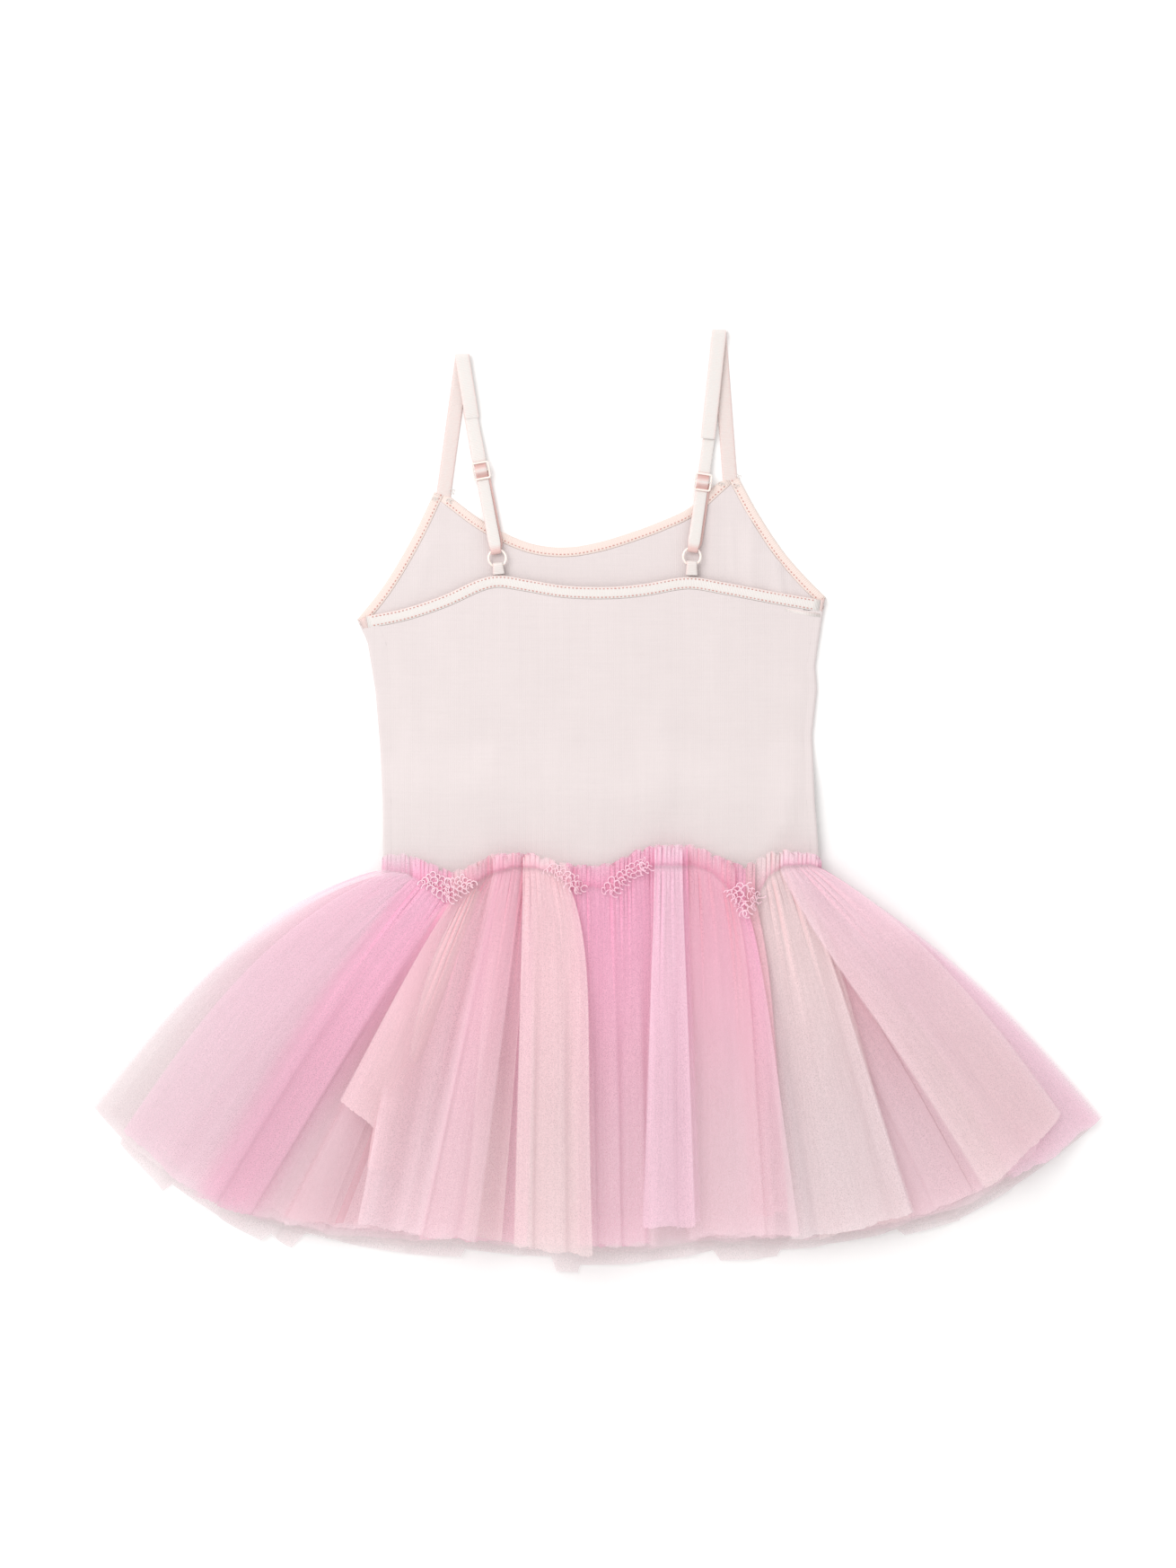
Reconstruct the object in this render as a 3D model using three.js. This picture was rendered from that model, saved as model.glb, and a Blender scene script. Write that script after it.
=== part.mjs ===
// A child's ballet dress, laid face down on a flat surface so that its back shows.
// The bodice is a jersey camisole: a front panel that lies on the surface and turns over at both sides, a
// back panel on it, bound edges, and two shoulder straps with a slider, a ring and a short tab each.
// The skirt is gathered tulle: a front layer on the surface, an under layer, and ten coloured panels sewn on
// the back along a scalloped line, each with a ruffled heading that stands above its stitches.
// Millimetres. +X is to the right, +Y runs from the hem to the shoulders and +Z is up from the surface.
import * as THREE from "three";

// Wall thicknesses, the gaps left between pieces at a seam, and the room round a ring's wire in its loop
const jersey = 1.2;
const binding = 1.6;
const elastic = 1.0;
const tulle = 1.2;
const hardware = 0.9;
const seam = 0.3;
const sideSeam = 0.4;
const loopGap = 0.45;

// Bodice sizes
const sideRoll = 1.1;
const waistLift = { height: 4.5, from: 36, to: 0 };
const bodiceBottom = -66;
const backDome = { height: 2.4, from: -30, to: 30 };
const frontBindingWidth = 5.5;
const backBindingWidth = 7.1;

// Finished outline of the bodice, left side to right side
const leftSide = [
  { y: -66, x: -123.2 },
  { y: -28, x: -123.2 },
  { y: 0, x: -123.2 },
  { y: 31, x: -125.0 },
  { y: 64, x: -127.8 },
  { y: 92, x: -132.3 },
  { y: 104.5, x: -138.3 },
];
const rightSide = [
  { y: -66, x: 126.8 },
  { y: -24, x: 125.9 },
  { y: 0, x: 123.9 },
  { y: 39, x: 122.6 },
  { y: 65, x: 125.4 },
  { y: 78, x: 124.2 },
  { y: 104.5, x: 128.2 },
  { y: 117, x: 130.6 },
];
const leftArmhole = [
  { x: -138.3, y: 104.5 },
  { x: -123.7, y: 122.9 },
  { x: -107.1, y: 150.5 },
  { x: -94.0, y: 177.6 },
];
const neckline = [
  { x: -84.2, y: 174.4 },
  { x: -68.4, y: 162.5 },
  { x: -55.6, y: 155.1 },
  { x: -37.3, y: 147.8 },
  { x: -18.8, y: 145.9 },
  { x: -0.4, y: 148.7 },
  { x: 18.0, y: 154.2 },
  { x: 36.3, y: 161.0 },
  { x: 52.0, y: 168.5 },
  { x: 69.5, y: 183.6 },
];
const rightArmhole = [
  { x: 80.3, y: 186.0 },
  { x: 91.6, y: 165.3 },
  { x: 106.3, y: 143.2 },
  { x: 119.2, y: 128.4 },
  { x: 130.6, y: 117.0 },
];
const backEdge = [
  { x: -133.2, y: 106.4 },
  { x: -110.8, y: 111.0 },
  { x: -88.7, y: 118.4 },
  { x: -68.4, y: 127.5 },
  { x: -57.4, y: 129.8 },
  { x: -40.9, y: 127.5 },
  { x: -18.8, y: 123.9 },
  { x: 8.8, y: 123.3 },
  { x: 27.2, y: 125.1 },
  { x: 45.6, y: 128.4 },
  { x: 54.8, y: 128.8 },
  { x: 73.2, y: 125.7 },
  { x: 100.7, y: 120.5 },
  { x: 127.6, y: 115.9 },
];

// How far the front panel turns over onto the back at each side, at the top of the turn and at the waist
const leftTurn = { top: 93, wide: 9, narrow: 3 };
const rightTurn = { top: 104, wide: 3, narrow: 3 };

// Soft folds in the two jersey panels: a ridge from one point to another
const frontFolds = [
  { x0: 88, y0: 156, x1: 87, y1: 118, width: 5, height: 1.4 },
  { x0: 102, y0: 138, x1: 104, y1: 112, width: 5, height: 1.2 },
];
const backFolds = [
  { x0: 120, y0: 70, x1: 118, y1: 36, width: 6, height: 1.4 },
  { x0: 117, y0: 36, x1: 108, y1: -14, width: 5, height: 2.2 },
  { x0: -112, y0: 84, x1: -108, y1: 30, width: 7, height: 0.8 },
  { x0: 40, y0: 60, x1: 34, y1: 0, width: 9, height: 0.7 },
];

// The fan of the skirt: its lines run out from an apex inside the bodice to the hem
const apex = { x: 3, y: 74 };
const fan = { from: 220.2, to: 318.4, waistY: -45, leftWaist: -124, rightWaist: 127.5 };
const hemRadius = [
  { angle: 220.2, r: 384 },
  { angle: 232.0, r: 382 },
  { angle: 241.0, r: 369 },
  { angle: 249.5, r: 352 },
  { angle: 256.0, r: 340 },
  { angle: 264.0, r: 335 },
  { angle: 274.0, r: 335 },
  { angle: 281.0, r: 337 },
  { angle: 288.0, r: 347 },
  { angle: 295.0, r: 359 },
  { angle: 303.0, r: 373 },
  { angle: 311.8, r: 381 },
  { angle: 318.4, r: 382.6 },
];
// The sides of the fan bow outwards by this much, and less and less towards the inner angle
const bulges = [
  { edge: 220.2, inner: 240, height: 17.5, power: 0.8 },
  { edge: 318.4, inner: 300, height: 7, power: 1 },
];

// Where the panels are stitched to the bodice, and the top of their ruffled headings
const scallops = [
  { x: -124.0, stitch: -39.1, top: -30.5 },
  { x: -109.4, stitch: -41.2, top: -30.0 },
  { x: -97.0, stitch: -49.0, top: -35.0 },
  { x: -84.2, stitch: -56.7, top: -40.5 },
  { x: -71.3, stitch: -47.4, top: -36.0 },
  { x: -60.5, stitch: -41.2, top: -30.5 },
  { x: -48.7, stitch: -37.6, top: -29.5 },
  { x: -35.3, stitch: -38.1, top: -30.0 },
  { x: -23.9, stitch: -42.2, top: -34.0 },
  { x: -13.6, stitch: -51.5, top: -36.5 },
  { x: -3.3, stitch: -48.9, top: -36.8 },
  { x: 9.0, stitch: -53.0, top: -35.0 },
  { x: 19.3, stitch: -42.7, top: -29.0 },
  { x: 31.7, stitch: -37.0, top: -25.0 },
  { x: 54.3, stitch: -37.0, top: -25.0 },
  { x: 64.6, stitch: -40.7, top: -29.5 },
  { x: 73.4, stitch: -48.9, top: -33.5 },
  { x: 83.2, stitch: -62.0, top: -37.0 },
  { x: 91.0, stitch: -55.0, top: -32.5 },
  { x: 97.0, stitch: -43.5, top: -29.5 },
  { x: 106.0, stitch: -37.0, top: -28.0 },
  { x: 120.3, stitch: -36.0, top: -29.5 },
  { x: 127.5, stitch: -37.6, top: -32.0 },
];
const frontStitch = -42;
const frontHeading = 14;
const skirtLength = 230;

// Heights between which each layer of tulle lies: at the waist, half way down, at the hem and at the sides
const layers = {
  front: { waist: [0, 4.2], middle: [0, 7.0], hem: [0, 8.0], side: [0, 1.6] },
  under: { waist: [8.2, 10.0], middle: [8.2, 15.4], hem: [8.4, 16.2], side: [1.9, 3.5] },
  lower: { waist: [10.3, 13.5], middle: [15.9, 24.4], hem: [16.7, 26.0], side: [3.8, 5.4] },
  upper: { waist: [13.8, 17.0], middle: [24.9, 33.4], hem: [26.5, 35.8], side: [6.1, 7.7] },
};
const headingBands = { front: [0, 4.2], lower: [10.3, 15.2], upper: [15.5, 20.6] };

// The back panels of the skirt, left to right. over is 1 where a panel's side lies over its neighbour and 0
// where it lies under it. cut is each side's share of the way to the hem.
const tullePanels = [
  { n: 1, colour: "lilac", waist: [-124, -83], hem: [220.2, 243.5], over: [0, 0], cut: [1, 0.97], pleats: 10 },
  { n: 2, colour: "peach", waist: [-86, -55], hem: [239.2, 252.5], over: [1, 0], cut: [0.66, 0.96], pleats: 7 },
  { n: 3, colour: "pink", waist: [-60, -34], hem: [250.5, 262.5], over: [1, 0], cut: [0.95, 0.97], pleats: 6 },
  { n: 4, colour: "peach", waist: [-38, -12], hem: [261, 268.6], over: [1, 1], cut: [0.97, 0.99], pleats: 5 },
  { n: 5, colour: "rose", waist: [-15, 28], hem: [266.8, 275.5], over: [0, 0], cut: [0.96, 0.97], pleats: 8 },
  { n: 6, colour: "lilac", waist: [25, 56], hem: [273.4, 279.6], over: [1, 1], cut: [0.91, 0.91], pleats: 6 },
  { n: 7, colour: "pink", waist: [52, 89], hem: [278, 290.2], over: [0, 1], cut: [0.96, 0.95], pleats: 8 },
  { n: 8, colour: "peach", waist: [90, 115.5], hem: [288.5, 299.5], over: [0, 0], cut: [0.97, 0.95], pleats: 5 },
  { n: 9, colour: "mauve", waist: [104, 127], hem: [306.3, 315.5], over: [1, 1], cut: [0.955, 0.91], pleats: 5 },
  { n: 10, colour: "lilac", waist: [117, 127.5], hem: [308.4, 318.4], over: [0, 0], cut: [0.97, 1], pleats: 2 },
];
// The notch in the second panel: its left part stops short, the rest runs on to the hem
const notch = { n: 2, until: 0.3, cut: 0.66, beyond: 0.93 };

// The cut edge of the front layer, which shows past the hem in steps: each run's angles and radii in the fan
const steppedHem = [
  { from: 220.2, to: 224.6, start: 384.0, end: 384.0 },
  { from: 224.6, to: 230.2, start: 387.0, end: 390.0 },
  { from: 230.2, to: 238.4, start: 383.5, end: 380.3 },
  { from: 238.4, to: 241.9, start: 374.4, end: 374.0 },
  { from: 241.9, to: 255.8, start: 363.0, end: 345.4 },
  { from: 255.8, to: 264.9, start: 339.7, end: 335.8 },
  { from: 264.9, to: 267.7, start: 344.4, end: 344.6 },
  { from: 267.7, to: 281.3, start: 340.0, end: 336.9 },
  { from: 281.3, to: 287.1, start: 343.5, end: 349.8 },
  { from: 287.1, to: 298.4, start: 346.0, end: 361.5 },
  { from: 298.4, to: 303.6, start: 366.0, end: 375.0 },
  { from: 303.6, to: 318.4, start: 374.0, end: 382.8 },
];

// Shoulder straps: where each starts, turns over and is joined to its adjuster, and its slider and ring
const straps = [
  {
    side: "left",
    base: { x: -88.6, y: 177.3 },
    top: { x: -78.0, y: 256.3 },
    joint: { x: -72.3, y: 219.8 },
    slider: { x: -67.2, y: 189.7 },
    ring: { x: -57.9, y: 139.6 },
    tabEnd: { x: -57.0, y: 130.3 },
  },
  {
    side: "right",
    base: { x: 75.4, y: 185.9 },
    top: { x: 69.3, y: 270.2 },
    joint: { x: 62.8, y: 208.0 },
    slider: { x: 59.8, y: 183.2 },
    ring: { x: 53.6, y: 140.6 },
    tabEnd: { x: 53.4, y: 129.7 },
  },
];
const strapWidth = 8.2;
const adjusterWidth = 6.8;
const strapHeights = { front: 0.6, back: 3.6, adjuster: 2.3, sliderUnder: 3.7, sliderOver: 6.2, returned: 2.4 };
const slider = { length: 10.3, width: 10.3, bar: 1.1, corner: 1.6, bottom: 4.5, lead: 0.6 };
const ring = { radius: 5.0, wire: 0.65, height: 4.7, turnIn: 0.75, wireSides: 6, arcSides: 20 };

// Materials
const colours = {
  jersey: [0xf0e2e1, 0.85],
  satin: [0xf7e9e6, 0.4],
  trim: [0xf3ddd6, 0.75],
  plastic: [0xf4d9d6, 0.3],
  lilac: [0xe3b9d6, 0.9],
  peach: [0xeec7c6, 0.9],
  pink: [0xeebbd2, 0.9],
  rose: [0xee9fc8, 0.9],
  mauve: [0xe8c2d0, 0.9],
  underlayer: [0xe3b3c2, 0.9],
};
const materials = Object.fromEntries(
  Object.entries(colours).map(([name, [color, roughness]]) => [
    name,
    new THREE.MeshStandardMaterial({ name, color, roughness, metalness: 0 }),
  ]),
);

// Small helpers
const { clamp, lerp, degToRad } = THREE.MathUtils;
const turn = 2 * Math.PI;
const point = (x, y, z = 0) => new THREE.Vector3(x, y, z);

function smooth(from, to, at) {
  const t = clamp((at - from) / (to - from), 0, 1);
  return t * t * (3 - 2 * t);
}

// Reads one column of a table at a place in another, with straight lines between the rows
function read(table, key, at, column) {
  const last = table.length - 1;
  const next = table.findIndex((row) => row[key] >= at);
  if (next === -1) return table[last][column];
  if (next === 0) return table[0][column];
  const [a, b] = [table[next - 1], table[next]];
  return lerp(a[column], b[column], (at - a[key]) / (b[key] - a[key]));
}

// A smooth line through the rows of a table
function smoothLine(rows, steps) {
  const curve = new THREE.CatmullRomCurve3(rows.map((p) => point(p.x, p.y)), false, "centripetal");
  return curve.getPoints(steps);
}

// The same line moved to the right of its direction, which is towards the cloth on every edge here
function moved(line, distance) {
  return line.map((p, i) => {
    const before = line[Math.max(i - 1, 0)];
    const after = line[Math.min(i + 1, line.length - 1)];
    const along = after.clone().sub(before).normalize();
    return point(p.x + along.y * distance, p.y - along.x * distance);
  });
}

// Where the straight line through a and b meets the one through c and d
function meeting(a, b, c, d) {
  const [u, w] = [b.clone().sub(a), d.clone().sub(c)];
  const t = ((c.x - a.x) * w.y - (c.y - a.y) * w.x) / (u.x * w.y - u.y * w.x);
  return a.clone().addScaledVector(u, t);
}

// A closed wall between two grids of points that match row by row
function closedWall(outer, inner) {
  const rows = outer.length;
  const columns = outer[0].length;
  const position = [outer, inner].flat(2).flatMap((p) => [p.x, p.y, p.z]);
  const at = (side, i, j) => (side * rows + i) * columns + j;
  const index = [];
  const quad = (a, b, c, d) => index.push(a, b, c, a, c, d);
  for (let i = 0; i < rows - 1; i++) {
    for (let j = 0; j < columns - 1; j++) {
      quad(at(0, i, j), at(0, i + 1, j), at(0, i + 1, j + 1), at(0, i, j + 1));
      quad(at(1, i, j), at(1, i, j + 1), at(1, i + 1, j + 1), at(1, i + 1, j));
    }
  }
  const rim = [];
  for (let i = 0; i < rows - 1; i++) rim.push([i, 0]);
  for (let j = 0; j < columns - 1; j++) rim.push([rows - 1, j]);
  for (let i = rows - 1; i > 0; i--) rim.push([i, columns - 1]);
  for (let j = columns - 1; j > 0; j--) rim.push([0, j]);
  rim.forEach(([i, j], k) => {
    const [ni, nj] = rim[(k + 1) % rim.length];
    quad(at(0, ni, nj), at(0, i, j), at(1, i, j), at(1, ni, nj));
  });
  const geometry = new THREE.BufferGeometry();
  geometry.setAttribute("position", new THREE.Float32BufferAttribute(position, 3));
  geometry.setIndex(index);
  geometry.computeVertexNormals();
  return geometry;
}

// A wall of one thickness about a grid of points, flat where it rests on the surface
function clothWall(grid, thickness) {
  const rest = 0.15;
  const pick = (list, k) => list[clamp(k, 0, list.length - 1)];
  const side = (sign) =>
    grid.map((row, i) =>
      row.map((p, j) => {
        const down = pick(grid, i + 1)[j].clone().sub(pick(grid, i - 1)[j]);
        const across = pick(row, j + 1).clone().sub(pick(row, j - 1));
        const out = down.cross(across).normalize();
        const q = p.clone().addScaledVector(out, (sign * thickness) / 2);
        if (q.z < rest) q.z = 0;
        return q;
      }),
    );
  return closedWall(side(1), side(-1));
}

// Heights of the bodice
function folds(list, x, y) {
  let height = 0;
  for (const f of list) {
    const along = point(f.x1 - f.x0, f.y1 - f.y0);
    const from = point(x - f.x0, y - f.y0);
    const share = clamp(from.dot(along) / along.lengthSq(), 0, 1);
    const off = from.distanceTo(along.clone().multiplyScalar(share));
    height += f.height * Math.exp(-((off / f.width) ** 2));
  }
  return height < 0.02 ? 0 : height;
}
const leftX = (y) => read(leftSide, "y", y, "x");
const rightX = (y) => read(rightSide, "y", y, "x");
const lift = (y) => waistLift.height * smooth(waistLift.from, waistLift.to, y);
const frontHeight = (x, y) => jersey / 2 + lift(y) + folds(frontFolds, x, y);
function turnWidth(side, y) {
  return lerp(side.narrow, side.wide, smooth(0, side.top, y));
}
const leftSeam = (y) => leftX(y) + jersey / 2 + sideRoll + turnWidth(leftTurn, y);
const rightSeam = (y) => rightX(y) - jersey / 2 - sideRoll - turnWidth(rightTurn, y);
function backHeight(x, y) {
  const across = clamp((x - leftSeam(y)) / (rightSeam(y) - leftSeam(y)), 0, 1);
  const inside = 1 - Math.abs(2 * across - 1) ** 2.5;
  const dome = backDome.height * inside * smooth(backDome.from, backDome.to, y);
  const soft = folds(backFolds, x, y) * Math.min(1, inside * 4);
  return jersey / 2 + lift(y) + 2 * sideRoll + dome + soft;
}

// Bound edges of the front: the neckline's binding butts against the armholes'
const armL = smoothLine(leftArmhole, 6);
const armR = smoothLine(rightArmhole, 6);
const neck = smoothLine(neckline, 14);
// The inner edge of a binding, moved in by a gap, with its first and last stretches
function innerEdge(line, gap) {
  const inner = moved(line, frontBindingWidth + gap);
  return { line: inner, first: inner.slice(0, 2), last: inner.slice(-2) };
}

function edgeStrip(outer, inner, height, thickness) {
  const grid = outer.map((p, i) => [p, inner[i]].map((q) => point(q.x, q.y, height(q.x, q.y))));
  return clothWall(grid.reverse(), thickness);
}

function frontBindings() {
  const flat = () => binding / 2;
  const left = edgeStrip(armL, moved(armL, frontBindingWidth), flat, binding);
  const right = edgeStrip(armR, moved(armR, frontBindingWidth), flat, binding);
  const butt = innerEdge(neck, 0);
  const besideLeft = innerEdge(armL, seam).last;
  const besideRight = innerEdge(armR, seam).first;
  const outer = [
    meeting(...besideLeft, neck[0], armL.at(-1)),
    ...neck,
    meeting(...besideRight, neck.at(-1), armR[0]),
  ];
  const inner = [
    meeting(...besideLeft, ...butt.first),
    ...butt.line,
    meeting(...besideRight, ...butt.last),
  ];
  return { left, right, neck: edgeStrip(outer, inner, flat, binding) };
}

// The front panel lies on the surface, and its sides turn up and over onto the back
const seamRows = 8;
function frontPanel() {
  const rows = seamRows;
  const armInnerL = innerEdge(armL, seam);
  const armInnerR = innerEdge(armR, seam);
  const neckInner = innerEdge(neck, seam);
  const cornerL = { x: leftX(97.5) + jersey / 2 + sideRoll, y: 97.5 };
  const cornerR = { x: rightX(110) - jersey / 2 - sideRoll, y: 110 };
  const top = [
    cornerL,
    ...armInnerL.line.slice(0, -1),
    meeting(...armInnerL.last, ...neckInner.first),
    ...neckInner.line.slice(1, -1),
    meeting(...armInnerR.first, ...neckInner.last),
    ...armInnerR.line.slice(1),
    cornerR,
  ];
  const edge = jersey / 2 + sideRoll;
  const width = (y) => rightX(y) - leftX(y) - 2 * edge;
  const rolled = [
    { angle: 180, share: 1, drop: 0 },
    { angle: 180, share: 0, drop: 0 },
    { angle: 120, share: 0, drop: 1 },
    { angle: 60, share: 0, drop: 3 },
  ];
  const roll = (side, sideX, inward, y0) => (step, v) => {
    const y = lerp(y0 + step.drop, bodiceBottom, v);
    const a = degToRad(step.angle);
    const x = sideX(y) + inward * (edge - sideRoll * Math.sin(a) + step.share * turnWidth(side, y));
    return point(x, y, frontHeight(x, y) + sideRoll * (1 - Math.cos(a)));
  };
  const leftRoll = roll(leftTurn, leftX, 1, leftTurn.top);
  const rightRoll = roll(rightTurn, rightX, -1, rightTurn.top);
  const grid = [];
  for (let i = 0; i <= rows; i++) {
    const v = i / rows;
    const middle = top.map((t, j) => {
      const shareTop = (t.x - leftX(t.y) - edge) / width(t.y);
      const share = lerp(shareTop, lerp(shareTop, j / (top.length - 1), 0.5), v);
      const y = lerp(t.y, bodiceBottom, v);
      const x = leftX(y) + edge + share * width(y);
      return point(x, y, frontHeight(x, y));
    });
    const left = rolled.map((step) => leftRoll(step, v));
    const right = [...rolled].reverse().map((step) => rightRoll(step, v));
    grid.push([...left, ...middle, ...right]);
  }
  return clothWall(grid, jersey);
}

// The back panel lies on the front one, between the two side seams
const backTop = smoothLine(backEdge, 26);
function backPanel() {
  const below = moved(backTop, backBindingWidth + seam);
  const from = leftSeam(leftTurn.top + 6) + sideSeam;
  const to = rightSeam(rightTurn.top + 4) - sideSeam;
  const corner = (x) => point(x, read(below, "x", x, "y"));
  const top = [corner(from), ...below.filter((p) => p.x > from + 2 && p.x < to - 2), corner(to)];
  const grid = [top.map((p) => p.clone().setZ(backHeight(p.x, p.y)))];
  for (let i = 0; i <= seamRows; i++) {
    const row = top.map((p) => {
      const share = (p.x - from) / (to - from);
      const y = lerp(lerp(leftTurn.top, rightTurn.top, share), bodiceBottom, i / seamRows);
      const x = lerp(leftSeam(y) + sideSeam, rightSeam(y) - sideSeam, share);
      return point(x, y, backHeight(x, y));
    });
    grid.push(row);
  }
  return clothWall(grid, jersey);
}

function backBinding() {
  return edgeStrip(backTop, moved(backTop, backBindingWidth), backHeight, binding);
}

// The skirt's fan: the height of a layer at a place, from how far down and how near a side that is
const apexPoint = point(apex.x, apex.y);
function hemPoint(angle) {
  const r = read(hemRadius, "angle", angle, "r");
  return point(apex.x + r * Math.cos(degToRad(angle)), apex.y + r * Math.sin(degToRad(angle)));
}
function placeInFan(p) {
  const angle = (THREE.MathUtils.radToDeg(Math.atan2(p.y - apex.y, p.x - apex.x)) + 360) % 360;
  const waist = (apex.y - fan.waistY) / Math.abs(Math.sin(degToRad(angle)));
  const hem = read(hemRadius, "angle", angle, "r");
  const down = (Math.hypot(p.x - apex.x, p.y - apex.y) - waist) / (hem - waist);
  const bow = 3 * Math.sin(Math.PI * clamp(down, 0, 1));
  const fromSide = Math.min(angle - (fan.from - bow), fan.to + bow / 2 - angle);
  return { down, inside: smooth(0, 13, fromSide) };
}
function layerHeights(layer, p) {
  const { down, inside } = placeInFan(p);
  const sides = (1 - inside) * smooth(0.16, 0.42, down);
  return [0, 1].map((k) => {
    const upper = lerp(layer.waist[k], layer.middle[k], smooth(0.1, 0.5, down));
    const open = lerp(upper, layer.hem[k], smooth(0.45, 1.05, down));
    return lerp(open, layer.side[k], sides);
  });
}
function bulge(angle, from, to, down) {
  const out = to.clone().sub(from).normalize();
  const sum = point(0, 0);
  for (const b of bulges) {
    const height = b.height * smooth(b.inner, b.edge, angle) * Math.sin(Math.PI * clamp(down, 0, 1) ** b.power);
    const outward = b.edge < b.inner ? point(out.y, -out.x) : point(-out.y, out.x);
    sum.addScaledVector(outward, height);
  }
  return sum;
}

// How far a place on a panel's side reaches towards the hem
function cutAt(panel, share) {
  if (panel.n === notch.n) {
    return share < notch.until ? lerp(panel.cut[0], notch.cut, share / notch.until) : notch.beyond;
  }
  return lerp(panel.cut[0], panel.cut[1], share);
}

// A gathered piece of tulle: rows of a heading above the stitches, then rows down to the hem.
// Each pleat has four columns: its crest, a side, its trough and the other side.
const perPleat = 4;
const closePitch = 5;
const stepWidth = 0.1;
const straightRows = [0, 0.13, 0.5, 1];
const bowedRows = [0, 0.13, 0.3, 0.52, 0.77, 1];
function gathered(piece) {
  const columns = piece.pleats * perPleat;
  const rows = piece.rows.map((down) => ({ down }));
  if (piece.top) rows.unshift({ heading: true });
  const grid = rows.map((row) => {
    const line = [];
    for (let j = 0; j <= columns; j++) {
      const share = j / columns;
      const phase = (turn * j) / perPleat;
      const uneven = (0.15 / piece.pleats) * Math.sin(turn * share * 2.3 + piece.pleats);
      const place = clamp(share + uneven * Math.sin(Math.PI * share), 0, 1);
      const waistX = lerp(piece.waist[0], piece.waist[1], place);
      const waist = point(waistX, piece.stitch(waistX));
      const angle = piece.column(lerp(piece.hem[0], piece.hem[1], place));
      const hem = hemPoint(angle);
      const across = hem.clone().sub(waist).normalize();
      across.set(-across.y, across.x, 0);
      const depth = 0.72 + 0.28 * Math.sin(1.7 * Math.floor(j / perPleat + 0.5) + piece.pleats);
      const wave = piece.wave(phase);
      let p;
      let band;
      let pitch = (piece.waist[1] - piece.waist[0]) / piece.pleats;
      if (row.heading) {
        p = point(waistX, piece.top(waistX));
        band = piece.headingBand(place);
      } else {
        const down = row.down * piece.cut(place, angle);
        p = waist.clone().lerp(hem, down).add(bulge(angle, waist, hem, down));
        band = piece.band(place, p);
        const hemWidth = degToRad(piece.hem[1] - piece.hem[0]) * hem.distanceTo(apexPoint);
        pitch = lerp(pitch, hemWidth / piece.pleats, down);
      }
      p.addScaledVector(across, piece.lean * Math.max(pitch - closePitch, 0) * Math.sin(phase));
      const room = clamp(band[1] - band[0] - tulle, 0, 0.75 * pitch);
      p.z = band[0] + tulle / 2 + room * depth * wave;
      line.push(p);
    }
    return line;
  });
  return clothWall(grid, tulle);
}
const roundPleat = (phase) => 0.5 + 0.5 * Math.cos(phase);
const flatFooted = (phase) => (Math.cos(phase + turn / 8) > 0 ? 1 : 0);

function backTulle(panel) {
  const raised = (share) => lerp(panel.over[0], panel.over[1], smooth(0.44, 0.86, share));
  const between = (share, low, high) => low.map((value, k) => lerp(value, high[k], raised(share)));
  return gathered({
    ...panel,
    rows: panel.hem[0] < 225 || panel.hem[1] > 312 ? bowedRows : straightRows,
    column: (angle) => angle,
    stitch: (x) => read(scallops, "x", x, "stitch"),
    top: (x) => read(scallops, "x", x, "top"),
    headingBand: (share) => between(share, headingBands.lower, headingBands.upper),
    band: (share, p) => between(share, layerHeights(layers.lower, p), layerHeights(layers.upper, p)),
    cut: (share) => cutAt(panel, share),
    wave: roundPleat,
    lean: 0.14,
  });
}
function underTulle() {
  return gathered({
    pleats: 20,
    rows: bowedRows,
    column: (angle) => angle,
    waist: [fan.leftWaist + 1.5, fan.rightWaist - 1.5],
    hem: [fan.from + 0.5, fan.to - 0.5],
    stitch: (x) => read(scallops, "x", x, "stitch") - 3,
    band: (share, p) => layerHeights(layers.under, p),
    cut: () => 0.975,
    wave: roundPleat,
    lean: 0.1,
  });
}
function frontTulle() {
  const runAt = (angle) => steppedHem.find((run) => angle <= run.to) ?? steppedHem.at(-1);
  const pleats = 24;
  const spacing = (fan.to - fan.from) / (pleats * perPleat);
  const nearestStep = (angle) => steppedHem.slice(1).find((run) => Math.abs(angle - run.from) < spacing * 0.6);
  return gathered({
    pleats,
    rows: bowedRows,
    column: (angle) => {
      const step = nearestStep(angle);
      return step ? step.from + (angle > step.from ? 1 : -1) * stepWidth : angle;
    },
    waist: [fan.leftWaist, fan.rightWaist],
    hem: [fan.from, fan.to],
    stitch: () => frontStitch,
    top: () => frontStitch + frontHeading,
    headingBand: () => headingBands.front,
    band: (share, p) => layerHeights(layers.front, p),
    cut: (share, angle) => {
      const run = runAt(angle);
      const r = lerp(run.start, run.end, (angle - run.from) / (run.to - run.from));
      return 1 + (r - read(hemRadius, "angle", angle, "r")) / skirtLength;
    },
    wave: flatFooted,
    lean: 0,
  });
}

// A flat ribbon of elastic along a path, always level from edge to edge
function ribbon(path, width, thickness) {
  const grid = path.map(({ at, heading }) => {
    const across = point(Math.cos(heading), Math.sin(heading)).multiplyScalar(width / 2);
    return [at.clone().sub(across), at.clone().add(across)];
  });
  return clothWall(grid, thickness);
}
const level = (from, to) => Math.atan2(from.x - to.x, to.y - from.y);

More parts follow.
